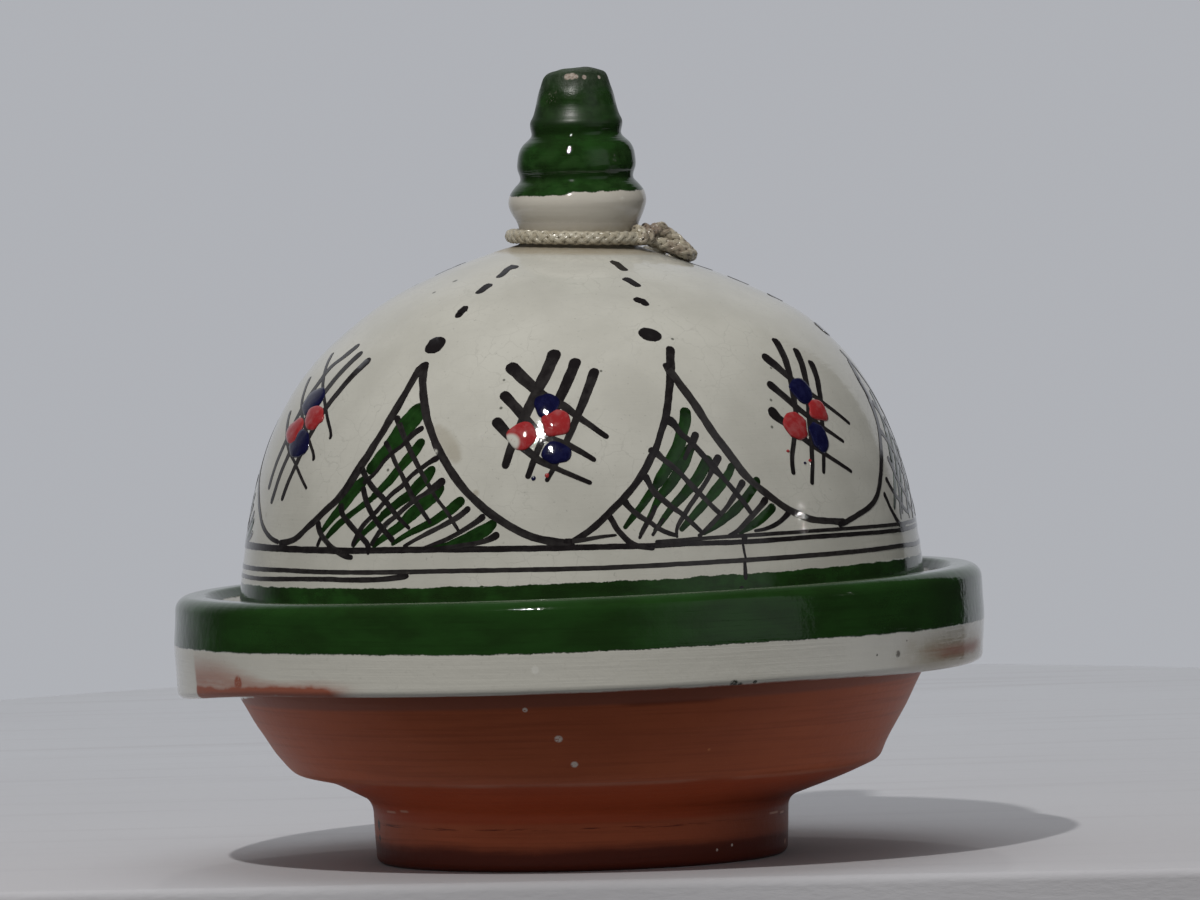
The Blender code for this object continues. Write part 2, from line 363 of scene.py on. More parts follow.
class Finish:
    """A material, built up from nodes."""

    def __init__(self, name):
        self.material = bpy.data.materials.new(name)
        self.material.use_nodes = True
        self.tree = self.material.node_tree
        self.shader = self.tree.nodes["Principled BSDF"]
        place = self.node("ShaderNodeTexCoord", {}, out="Object")
        self.place = self.node("ShaderNodeVectorMath", {0: place, "Scale": 1000.0}, operation="SCALE")
        self.x, self.y, self.z = (
            self.node("ShaderNodeSeparateXYZ", {0: self.place}, out=axis) for axis in ("X", "Y", "Z")
        )

    def node(self, kind, values, out=0, **settings):
        """One output of a new node of this type, with its settings made and then its sockets filled."""
        node = self.tree.nodes.new(kind)
        for name, setting in settings.items():
            setattr(node, name, setting)
        for name, value in values.items():
            self.fill(node.inputs[name], value)
        return Value(self, node.outputs[out])

    def fill(self, socket, value):
        """Links a value to the socket, or sets the socket to a number or colour."""
        if isinstance(value, Value):
            self.tree.links.new(value.socket, socket)
        elif isinstance(value, tuple) and len(value) == 3 and socket.type == "RGBA":
            socket.default_value = (*value, 1)
        else:
            socket.default_value = value

    def set(self, **values):
        """Fills the shader's sockets, named with _ for a space."""
        for name, value in values.items():
            self.fill(self.shader.inputs[name.replace("_", " ")], value)

    def ease(self, low, high, value):
        """0 below low, 1 above high, and smooth between them."""
        return self.node(
            "ShaderNodeMapRange",
            {"Value": value, "From Min": low, "From Max": high},
            interpolation_type="SMOOTHSTEP",
        )

    def least(self, first, second):
        """The smaller of the two."""
        return self.node("ShaderNodeMath", {0: first, 1: second}, operation="MINIMUM")

    def most(self, first, second):
        """The larger of the two."""
        return self.node("ShaderNodeMath", {0: first, 1: second}, operation="MAXIMUM")

    def sine(self, value):
        return self.node("ShaderNodeMath", {0: value}, operation="SINE")

    def off(self, value, level):
        """How far the value is from the level."""
        return self.node("ShaderNodeMath", {0: value - level}, operation="ABSOLUTE")

    def mix(self, mask, under, over):
        """The colour under where the mask is 0, and over where it is 1."""
        node = self.tree.nodes.new("ShaderNodeMix")
        node.data_type = "RGBA"
        self.fill(node.inputs[0], mask)
        self.fill(node.inputs[6], under)
        self.fill(node.inputs[7], over)
        return Value(self, node.outputs[2])

    def mottle(self, size, stretch=(1, 1, 1), detail=3.0, shift=0.0):
        """Noise from 0 to 1, its blots about this many millimetres across, longer along stretched axes."""
        scaled = self.node(
            "ShaderNodeMapping",
            {"Vector": self.place, "Location": (shift, shift, shift), "Scale": tuple(1 / s for s in stretch)},
        )
        return self.node(
            "ShaderNodeTexNoise",
            {"Vector": scaled, "Scale": 1 / size, "Detail": detail, "Roughness": 0.55},
            out="Fac",
        )

    def azimuth(self):
        """Degrees from the front towards +X."""
        turned = self.node("ShaderNodeMath", {0: self.x, 1: self.y * -1.0}, operation="ARCTAN2")
        return turned * (180 / math.pi)

    def near(self, spot, size, soft=0.4):
        """1 within this many millimetres of a place on the pot, with an uneven edge."""
        gap = self.node(
            "ShaderNodeVectorMath",
            {0: self.place, 1: tuple(spot / MM)},
            operation="DISTANCE",
            out="Value",
        )
        return self.ease(size * (1 + soft), size * (1 - soft), gap)

    def scored(self, spot, reach, thickness):
        """1 on a level line, this far to each side of a place on the pot."""
        gap = self.off(self.z, spot.z / MM)
        return self.near(spot, reach, 0.3) * self.ease(thickness, thickness * 0.4, gap)

    def overlaid(self, mask):
        """A second shader over the first where the mask is 1, which takes what is set from here on."""
        under = self.shader
        self.shader = self.tree.nodes.new("ShaderNodeBsdfPrincipled")
        blend = self.tree.nodes.new("ShaderNodeMixShader")
        self.fill(blend.inputs[0], mask)
        self.tree.links.new(under.outputs[0], blend.inputs[1])
        self.tree.links.new(self.shader.outputs[0], blend.inputs[2])
        self.tree.links.new(blend.outputs[0], self.tree.nodes["Material Output"].inputs["Surface"])

    def bump(self, height, depth):
        """A normal raised by the height times this many millimetres."""
        values = {"Height": height, "Distance": depth * MM, "Strength": 1.0}
        return self.node("ShaderNodeBump", values, out="Normal")


# The camera


def camera():
    """The camera, and the turn from its own axes to the scene's."""
    data = bpy.data.cameras.new("camera")
    data.lens = LENS
    data.sensor_width = SENSOR
    data.clip_start, data.clip_end = 0.05, 30
    piece = bpy.data.objects.new("camera", data)
    look = (CAMERA_AIM - CAMERA_PLACE).to_track_quat("-Z", "Y") @ Quaternion((0, 0, 1), -CAMERA_ROLL)
    piece.matrix_world = Matrix.LocRotScale(CAMERA_PLACE, look, None)
    bpy.context.scene.collection.objects.link(piece)
    bpy.context.scene.camera = piece
    return piece.matrix_world.to_3x3()


CAMERA_TURN = camera()


def sight(pixel):
    """The direction in which the camera sees a pixel of the photograph."""
    per_pixel = SENSOR / PICTURE_WIDTH / LENS
    across, up = (pixel[0] - PICTURE_WIDTH / 2) * per_pixel, (PICTURE_HEIGHT / 2 - pixel[1]) * per_pixel
    return (CAMERA_TURN @ Vector((across, up, -1))).normalized()


# The braided cord

BRAID_LEAD = 9.7 * MM
YARN_WIDTH, YARN_THICKNESS = 1.36 * MM, 0.86 * MM
YARN_STEP = 0.42 * MM
YARN_SIDES = 8
LOOP_STEPS = 160


def bent_sheet(columns, rows, place, length):
    """A sheet of columns by rows, rolled and bent so that (u, v) of its square goes to place(u, v).

    Its UV map runs from 0 to this length along the sheet, and from 0 to 1 across it.
    """
    form = bmesh.new()
    form.loops.layers.uv.new("UVMap")
    bmesh.ops.create_grid(form, x_segments=columns, y_segments=rows, size=1, calc_uvs=True)
    uv = form.loops.layers.uv.active
    for face in form.faces:
        for loop in face.loops:
            loop[uv].uv.x *= length
    for vert in form.verts:
        vert.co = place((vert.co.x + 1) / 2, (vert.co.y + 1) / 2)
    bmesh.ops.remove_doubles(form, verts=form.verts[:], dist=2e-7)
    bmesh.ops.dissolve_degenerate(form, edges=form.edges[:], dist=1e-8)
    bmesh.ops.recalc_face_normals(form, faces=form.faces[:])
    return form


def gather(forms):
    """Several forms as one, with their attributes."""
    whole = bmesh.new()
    whole.verts.layers.float.new("load")
    whole.loops.layers.uv.new("UVMap")
    spare = bpy.data.meshes.new("spare")
    for form in forms:
        form.to_mesh(spare)
        form.free()
        whole.from_mesh(spare)
    bpy.data.meshes.remove(spare)
    return whole


class Path:
    """A smooth route with a frame that doesn't twist, asked by the distance along it."""

    def __init__(self, points):
        self.points = points
        self.reach = [0.0]
        for start, end in zip(points, points[1:]):
            self.reach.append(self.reach[-1] + (end - start).length)
        self.length = self.reach[-1]
        across = (points[1] - points[0]).orthogonal().normalized()
        self.frames = []
        last = len(points) - 1
        for index, point in enumerate(points):
            along = (points[min(index + 1, last)] - points[max(index - 1, 0)]).normalized()
            across = (across - along * across.dot(along)).normalized()
            self.frames.append((along, across, along.cross(across)))

    def at(self, distance):
        """The place at this distance, and the directions along the route, across it and up from it."""
        distance = min(max(distance, 0.0), self.length - 1e-9)
        low, high = 0, len(self.points) - 1
        while high - low > 1:
            middle = (low + high) // 2
            if self.reach[middle] <= distance:
                low = middle
            else:
                high = middle
        share = (distance - self.reach[low]) / (self.reach[low + 1] - self.reach[low])
        mixed = [a.lerp(b, share) for a, b in zip(self.frames[low], self.frames[low + 1])]
        return self.points[low].lerp(self.points[low + 1], share), *(v.normalized() for v in mixed)


def yarn(path, turn, start, thickness):
    """One strand of the braid, wound round the core over and under the strands that wind against it."""
    core = (CORD_DIAMETER - YARN_THICKNESS) / 2 * thickness
    steps = max(8, round(path.length / YARN_STEP))
    sealed = 0.9 * MM

    def centre(distance):
        point, along, across, up = path.at(distance)
        angle = start + turn * math.tau * distance / BRAID_LEAD
        weave = 0.13 * MM * turn * math.cos(4 * math.tau * distance / BRAID_LEAD) * thickness
        out = across * math.cos(angle) + up * math.sin(angle)
        end = min(distance, path.length - distance)
        drawn_in = math.sqrt(max(0.0, 1 - (1 - min(1.0, end / sealed)) ** 2))
        return point + out * (core + weave) * drawn_in, out, drawn_in

    def place(u, v):
        distance = u * path.length
        middle, out, drawn_in = centre(distance)
        ahead = centre(min(distance + 0.05 * MM, path.length))[0]
        behind = centre(max(distance - 0.05 * MM, 0.0))[0]
        along = (ahead - behind).normalized()
        side = along.cross(out).normalized()
        angle = v * math.tau
        width = YARN_WIDTH / 2 * thickness * (0.35 + 0.65 * drawn_in)
        depth = YARN_THICKNESS / 2 * thickness * (0.35 + 0.65 * drawn_in)
        if u in (0.0, 1.0):
            width = depth = 0.0
        return middle + side * math.cos(angle) * width + out * math.sin(angle) * depth

    return bent_sheet(steps, YARN_SIDES, place, path.length / MM)


def braided(route, thickness=1.0):
    """Eight strands braided along a route."""
    path = Path(route)
    forms = []
    for turn in (1, -1):
        for strand in range(4):
            forms.append(yarn(path, turn, strand * math.tau / 4, thickness))
    return forms


def knot_place():
    """The matrix that takes the knot from the origin to its seat on the shoulder, its length outwards."""
    x, y = KNOT_DISTANCE * math.cos(KNOT_BEARING), KNOT_DISTANCE * math.sin(KNOT_BEARING)
    seat, above = on_dome(x, y, 0), on_dome(x, y, 1)
    up = (above - seat).normalized()
    side = up.cross(Vector((x, y, 0))).normalized()
    turn = Matrix((side.cross(up), side, up)).transposed().to_4x4()
    return Matrix.Translation(seat + up * (KNOT_HEIGHT / 2 + TOUCH_GAP)) @ turn


def neck_cord_route():
    """Once round the neck, from the knot's far side to its near side."""
    radius = NECK_RADIUS + TOUCH_GAP + CORD_DIAMETER / 2
    height = SHOULDER + TOUCH_GAP + CORD_DIAMETER / 2
    half_gap = math.asin((KNOT_WIDTH / 2 + TOUCH_GAP + CORD_DIAMETER / 4) / radius)
    start, turn = KNOT_BEARING + half_gap, math.tau - 2 * half_gap
    route = []
    for step in range(LOOP_STEPS + 1):
        angle = start + turn * step / LOOP_STEPS
        route.append(Vector((radius * math.cos(angle), radius * math.sin(angle), height)))
    return route


def tail_route(exit_along_knot, plan):
    """From the knot's far side over the dome through the plan's points, resting on the dome."""
    seat = knot_place()
    drop = CORD_DIAMETER / 2 - KNOT_HEIGHT / 2
    points = []
    for distance in (TOUCH_GAP, CORD_DIAMETER):
        points.append(seat @ Vector((exit_along_knot, KNOT_WIDTH / 2 + distance, drop)))
    for x, y in plan:
        points.append(on_dome(x, y, TOUCH_GAP + CORD_DIAMETER / 2))
    return smooth_through(points, 12)


def flatter_below(value):
    """The value, drawn in where it is negative, because the neck and the shoulder are in the way there."""
    return value * (1.0 if value > 0 else 0.35)


def shares(steps):
    """The way from 0 to 1 in this many steps."""
    return [step / steps for step in range(steps + 1)]


def knot_forms():
    """The knot: the cord drawn round the loop's near end and doubled back on itself down the shoulder, with a
    slack thin bight on top."""
    loop = Path(neck_cord_route())
    wrap = []
    for share in shares(72):
        angle = 1.8 * math.tau * share + 2.4
        middle, along = loop.at(loop.length - (6.4 - 5.2 * share) * MM)[:2]
        outwards, up = along.cross(Vector((0, 0, 1))), Vector((0, 0, 1))
        over = 1.9 * MM * flatter_below(math.sin(angle))
        beside = 2.2 * MM * flatter_below(math.cos(angle))
        wrap.append(middle + outwards * beside + up * over)
    forms = braided(wrap, 0.68)
    seat = knot_place()
    tie = []
    for share in shares(60):
        angle = 1.6 * math.tau * share - 0.8
        over = 1.3 * math.sin(angle)
        tie.append(seat @ (Vector((-7.9 + 2.4 * share, -3.9 + 1.9 * math.cos(angle), over - 0.6)) * MM))
    forms += braided(tie, 0.72)
    for thickness, stretch in ((1.0, KNOT_BACK), (0.95, KNOT_FRONT), (0.5, KNOT_BIGHT)):
        curve = smooth_through([Vector(place) for place in stretch], 10)
        forms += braided([seat @ (point * MM) for point in curve], thickness)
    return forms


# The knot's stretches of cord, in millimetres: outwards down the shoulder, towards the far side, and up
KNOT_BACK = (
    (-6.0, -3.4, 0.6), (-4.2, -2.2, 1.2), (-2.2, -1.4, 1.2), (0.0, -1.0, 0.6), (2.3, -1.0, -0.5),
    (4.3, -0.7, -1.4), (5.1, 0.7, -2.0), (4.7, 2.2, -2.0), (2.6, 2.8, -1.7), (-0.4, 2.8, -1.4),
    (-3.0, 3.0, -1.3),
)
KNOT_FRONT = (
    (-8.2, -4.8, -1.0), (-6.3, -4.7, -1.5), (-4.2, -4.1, -1.5), (-1.8, -3.5, -1.3), (0.8, -3.1, -1.3),
    (3.0, -2.6, -1.6), (4.3, -1.6, -1.8), (4.4, 0.2, -1.8),
)
KNOT_BIGHT = (
    (-5.4, -3.2, 1.0), (-4.9, -3.0, 1.9), (-4.0, -2.7, 2.4), (-3.0, -2.2, 2.2), (-2.3, -1.7, 1.5),
    (-2.1, -1.2, 0.6),
)


def settled_route(route):
    """A cord's route, on the lid as it sits."""
    return [lid_settled(point) for point in route]


def cord_finish(name, yarn_colour, dull_colour, stained, grubby=None):
    """Shiny yarn with fine fibres, soiled in patches, with painted shade between the fibres and where the
    strands dip under one another, and painted glints on the yarn.
    """
    finish = Finish(name)
    uv = finish.node("ShaderNodeUVMap", {}, out="UV", uv_map="UVMap")
    around = finish.node("ShaderNodeSeparateXYZ", {0: uv}, out="Y")
    along = finish.node("ShaderNodeSeparateXYZ", {0: uv}, out="X")
    fibre = finish.sine(around * (math.tau * 9) + along * 0.9) * 0.5 + 0.5
    frayed = finish.mottle(0.25, detail=2.0)
    patches = finish.ease(0.38, 0.68, finish.mottle(2.6))
    soiled = patches * 0.7 + stained
    if grubby:
        soiled = soiled + finish.near(grubby, 3.6, 0.4) * 0.9
    soiled = finish.least(soiled, 1.0)
    colour = finish.mix(soiled, yarn_colour, dull_colour)
    # Painted shade: a darker copy of the dull colour, laid between the fibres and on each strand's inward
    # side, where it dips under another
    dark = tuple(c * 0.55 for c in dull_colour)
    strand_shade = finish.ease(0.65, -0.35, finish.sine(around * math.tau))
    colour = finish.mix((1 - fibre) * 0.25, colour, dark)
    colour = finish.mix(strand_shade * 0.7, colour, dark)
    # Painted glints: patches of a paler copy of the yarn colour
    glint_colour = tuple(min(1, c * 1.45) for c in yarn_colour)
    colour = finish.mix(finish.ease(0.62, 0.80, frayed) * 0.5, colour, glint_colour)
    finish.set(
        Base_Color=colour,
        Roughness=0.12 + 0.20 * frayed,
        Normal=finish.bump(fibre + frayed * 0.6, 0.05),
    )
    finish.set(Sheen_Weight=0.1, Sheen_Roughness=0.4, Specular_IOR_Level=1.0)
    return finish.material


# Where the cord is grubbiest, at the knot's tie
TIE = knot_place() @ (Vector((-7.2, -4.6, 0.0)) * MM)
CORD = cord_finish("braided_cord", (0.56, 0.515, 0.405), (0.34, 0.29, 0.20), 0.0)
SOILED_CORD = cord_finish("soiled_knot", (0.54, 0.49, 0.37), (0.25, 0.19, 0.14), 0.1, TIE)

neck_route = settled_route(neck_cord_route())
long_route = settled_route(tail_route(LONG_TAIL_EXIT, LONG_TAIL_PLAN))
short_route = settled_route(tail_route(SHORT_TAIL_EXIT, SHORT_TAIL_PLAN))

knot = set_up("tied_knot", gather(knot_forms()), SOILED_CORD)
for vert in knot.data.vertices:
    vert.co = lid_settled(vert.co)
cord_ring = set_up("cord_round_neck", gather(braided(neck_route)), CORD)
long_tail = set_up("long_cord_end", gather(braided(long_route)), CORD)
short_tail = set_up("short_cord_end", gather(braided(short_route)), CORD)

for piece, node in (
    (knot, "cord_knot"),
    (cord_ring, "neck_cord"),
    (long_tail, "cord_tail_long"),
    (short_tail, "cord_tail_short"),
):
    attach(piece, "lid")
    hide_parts(node)

for piece, route, far_end, lay, goes_with in (
    (cord_ring, neck_route, "knot", "taut", [knot]),
    (long_tail, long_route, "bare", "loose", []),
    (short_tail, short_route, "bare", "loose", []),
):
    tuple(route[0])
    Path(route).length
    [tuple(point) for point in route]
    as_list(goes_with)


# The bowl and the lid


def bowl_outline():
    """The bowl's outline, from the middle of its floor over the rim and the foot to the middle underneath."""
    corners = [(radius * MM, height * MM, rounding * MM) for radius, height, rounding in BOWL_CORNERS]
    return spaced(rounded(corners))


def lid_outline():
    """The lid's outline, from the top of the knob down the dome to the edge, and up inside to the axis."""
    knob = smooth_through([Vector(ring) * MM for ring in KNOB_RINGS], 5)
    corners = [(*point, 0) for point in knob] + [(NECK_RADIUS, SHOULDER, 0.9 * MM)]
    corners += [(*point, 0) for point, normal in reversed(DOME[1:-1])]
    corners += [(LID_RADIUS, LID_EDGE, 1.4 * MM), (LID_RADIUS - LID_WALL, LID_EDGE, 1.4 * MM)]
    inside = [point - normal * LID_WALL for point, normal in DOME[2::2]]
    corners += [(*point, 0) for point in inside] + [(0, inside[-1].y, 0)]
    return spaced(rounded(corners))


def walked_to(outline, height):
    """How far along the outline, from its start, its first point below this height lies, in millimetres."""
    walked = 0.0
    for before, point in zip(outline, outline[1:]):
        walked += (point - before).length
        if point.y < height:
            return walked / MM
    return walked / MM


LID_OUTLINE = lid_outline()
LID_EDGE_WALK = walked_to(LID_OUTLINE, DOME[20][0].y) + CLIMBS[20] / MM


# Heights on the bowl, in millimetres: the foot's turned groove, the bend at the foot of the flare, where a
# pale highlight is painted, the drip under the rim, the slip's lower edge, where the slip is rubbed off at
# the left and right, the green's edge
FOOT_GROOVE, FLARE_BEND, DRIP_HEIGHT = 9.4, 20.2, 38.8
SLIP_EDGE, LEFT_BARE, RIGHT_BARE, GREEN_EDGE = 38.7, 41.3, 44.6, 50.6

# Where the lid's green band ends, up its side, and where the knob's green starts, above the table
BAND_TOP, KNOB_GREEN_EDGE = 6.5, 147.7


def bowl_finish():
    """Thin clear glaze over red-brown clay, cream slip on the rim's band and inside, and green on the lip."""
    finish = Finish("bowl_glazes")
    walk = finish.node("ShaderNodeAttribute", {}, out="Fac", attribute_name="along") * 1000.0
    height = finish.z - finish.x * RIM_SLANT
    around = finish.azimuth()
    outside = finish.ease(LIP_WALK - 1.5, LIP_WALK + 1.5, walk)

    cloud = finish.mottle(9.0, stretch=(2.2, 2.2, 0.8), detail=4)
    turning = finish.mottle(1.5, stretch=(26, 26, 0.55), detail=3)
    grog = finish.mottle(0.55, detail=2)
    clay = finish.mix(cloud, CLAY_DARK, CLAY_LIGHT)
    clay = finish.mix(finish.ease(0.45, 0.72, turning) * 0.38, clay, CLAY_DEEP)
    clay = finish.mix(finish.ease(0.64, 0.78, grog) * 0.30, clay, CLAY_ORANGE)
    shoulder_zone = finish.ease(10.4, 11.4, finish.z + 0.5 * cloud) * finish.ease(20.6, 19.6, finish.z)
    clay = finish.mix(shoulder_zone * 0.62, clay, CLAY_RED)
    # Painted highlight: a broken pale line along the bend at the foot of the flare
    bend_highlight = finish.ease(0.7, 0.15, finish.off(finish.z, FLARE_BEND))
    clay = finish.mix(bend_highlight * finish.ease(0.35, 0.6, cloud) * 0.25, clay, CLAY_PALE_AND_HIGHLIGHT)
    # Painted shade: the clay darker low on the pot at the right, from the front right round to the back
    right_foot_shade = finish.ease(25, 65, around) * finish.ease(19, 13, finish.z)
    clay = finish.mix(right_foot_shade * 0.62, clay, CLAY_SHADED)
    pooled = finish.ease(4.6, 1.6, finish.z - 3.4 * cloud - 0.8 * turning)
    clay = finish.mix(pooled * outside * 0.92, clay, CLAY_POOLED)
    cut = finish.ease(0.42, 0.1, finish.off(finish.z, FOOT_GROOVE))
    broken = finish.ease(0.5, 0.62, finish.mottle(4.0, stretch=(2, 2, 0.1)))
    clay = finish.mix(cut * broken * 0.8, clay, CLAY_POOLED)
    drip = finish.ease(1.8, 0.3, finish.off(height, DRIP_HEIGHT))
    drip = drip * finish.ease(4, 9, around) * finish.ease(26, 19, around)
    clay = finish.mix(drip * 0.8, clay, CLAY_POOLED)

    wobble = finish.mottle(5.0, detail=4)
    edge_grain = finish.mottle(0.5, detail=2)
    facing = finish.node("ShaderNodeMath", {0: around * (math.pi / 180)}, operation="COSINE")
    at_right = finish.ease(0.5, 0.95, finish.sine(around * (math.pi / 180)))
    trimmed = 2.9 * finish.ease(0.0, 0.7, facing + 0.55 * at_right) - 1.3 * at_right
    slip_edge = height - SLIP_EDGE - trimmed + (wobble - 0.5) * 0.9 + (edge_grain - 0.5) * 0.5
    slip = finish.ease(-0.1, 0.35, slip_edge)
    dragged = finish.mottle(2.6, stretch=(5, 5, 0.5), detail=4)
    left_end = finish.ease(-70.0, -68.8, around + wobble * 1.4)
    edge_lift = height - LEFT_BARE - 0.8 * finish.ease(-60, -40, around)
    left_bare = left_end * finish.ease(-33, -40, around)
    left_bare = left_bare * finish.ease(3.0, 1.0, edge_lift + (wobble - 0.5) * 2.2)
    left_bare = left_bare * finish.ease(0.22, 0.42, dragged + finish.ease(-48, -60, around) * 0.12)
    thin_reach = 4.0 + 6.5 * finish.ease(-46, -64, around)
    thin_share = (edge_lift + (dragged - 0.5) * 4) / thin_reach
    left_thin = left_end * finish.ease(-30, -46, around) * finish.ease(1.05, 0.35, thin_share)
    right_low = finish.off(height - (wobble - 0.5) * 1.4, RIGHT_BARE)
    right_bare = finish.ease(54, 68, around + (dragged - 0.5) * 14) * finish.ease(84, 74, around)
    right_bare = right_bare * finish.ease(2.4, 0.1, right_low)
    right_stain = finish.ease(47, 62, around + (wobble - 0.5) * 12) * finish.ease(92, 76, around)
    right_stain = right_stain * finish.ease(5.4, 1.0, right_low) * (0.45 + 0.6 * dragged)
    thin = left_thin * (0.30 + 0.75 * dragged)
    bare = finish.most(left_bare * 0.9, right_bare * 0.7)
    back_bare = finish.ease(0.60, 0.72, finish.mottle(14, shift=30)) * finish.ease(43.5, 40.5, height) * 0.8
    show_through = finish.least(thin + bare + back_bare * finish.ease(100, 120, around * around * 0.01), 1.0)
    slip = slip * (1 - show_through * outside)

    cream = finish.mix(finish.mottle(16, detail=4), CREAM_LIGHT, SLIP_PALE)
    cream = finish.mix(finish.ease(0.60, 0.75, finish.mottle(1.1)) * 0.25, cream, CREAM_GREY)
    # Painted highlight: the rim's cream paler at the right, where more light falls on it
    right_highlight = finish.ease(22, 40, around) * finish.ease(66, 52, around)
    cream = finish.mix(right_highlight * 0.9, cream, CREAM_HIGHLIGHT)
    cream = finish.mix(right_stain * outside, cream, CREAM_SOILED)
    green_line = GREEN_EDGE + 0.9 * finish.ease(-5, -45, around) - 0.7 * finish.ease(20, 60, around)
    green = finish.ease(-0.12, 0.14, height - green_line + (wobble - 0.5) * 0.9 + (edge_grain - 0.5) * 0.55)
    green = green * finish.ease(GREEN_STARTS_WALK - 0.3, GREEN_STARTS_WALK + 0.3, walk + (wobble - 0.5) * 1.6)
    ground_shown = finish.mottle(7.0, stretch=(2.2, 2.2, 0.9), detail=4)
    brush = finish.mottle(1.0, stretch=(18, 18, 0.5), detail=2)
    green_colour = finish.mix(0.2 + 0.6 * finish.ease(0.3, 0.7, ground_shown), GREEN_DEEP, GREEN_BRIGHT)
    green_colour = finish.mix(finish.ease(0.5, 0.8, brush) * 0.35, green_colour, GREEN_DEEP)
    # Paler green along the lip's crest: partly glaze run thin on the edge, partly a painted highlight
    thin_green_and_sheen = finish.ease(61.0, 62.1, height + (ground_shown - 0.5) * 0.5) * 0.35
    green_colour = finish.mix(thin_green_and_sheen, green_colour, GREEN_THIN_AND_SHEEN)

    inside_cream = finish.mix(finish.ease(0.3, 0.7, finish.mottle(20)), CREAM_DARK, CREAM_LIGHT)
    clay = finish.mix(finish.ease(37.6, 38.6, height) * 0.92, clay, RIM_CLAY)
    colour = finish.mix(slip, clay, cream)
    colour = finish.mix(outside, inside_cream, colour)
    colour = finish.mix(green, colour, green_colour)
    ragged_edge = finish.ease(0.25, 0.45, finish.mottle(0.5, detail=1))
    for pixel, size, spot_colour in BOWL_SPECKS:
        speck = finish.near(seen_on(BOWL_TREE, pixel), size, 0.3)
        colour = finish.mix(speck * ragged_edge, colour, spot_colour)
    for pixel, reach in FOOT_SCORES:
        colour = finish.mix(finish.scored(seen_on(BOWL_TREE, pixel), reach, 0.35) * 0.8, colour, CLAY_PALE_AND_HIGHLIGHT)
    raised = finish.ease(-0.2, 0.5, slip_edge) * 1.2 * outside + green * 1.0
    surface = raised + turning * 0.7 + finish.mottle(2.6, detail=3) * 0.8 + edge_grain * 0.10
    normal = finish.bump(surface, 0.10)
    finish.set(Base_Color=colour, Roughness=0.30 + 0.14 * cloud + 0.10 * grog, Normal=normal)
    finish.set(IOR=1.5, Specular_IOR_Level=0.16)
    finish.overlaid(finish.most(finish.most(slip, green), 1 - outside))
    finish.set(Base_Color=colour, Roughness=0.045 + 0.05 * cloud, Normal=normal)
    finish.set(IOR=1.5)
    return finish.material


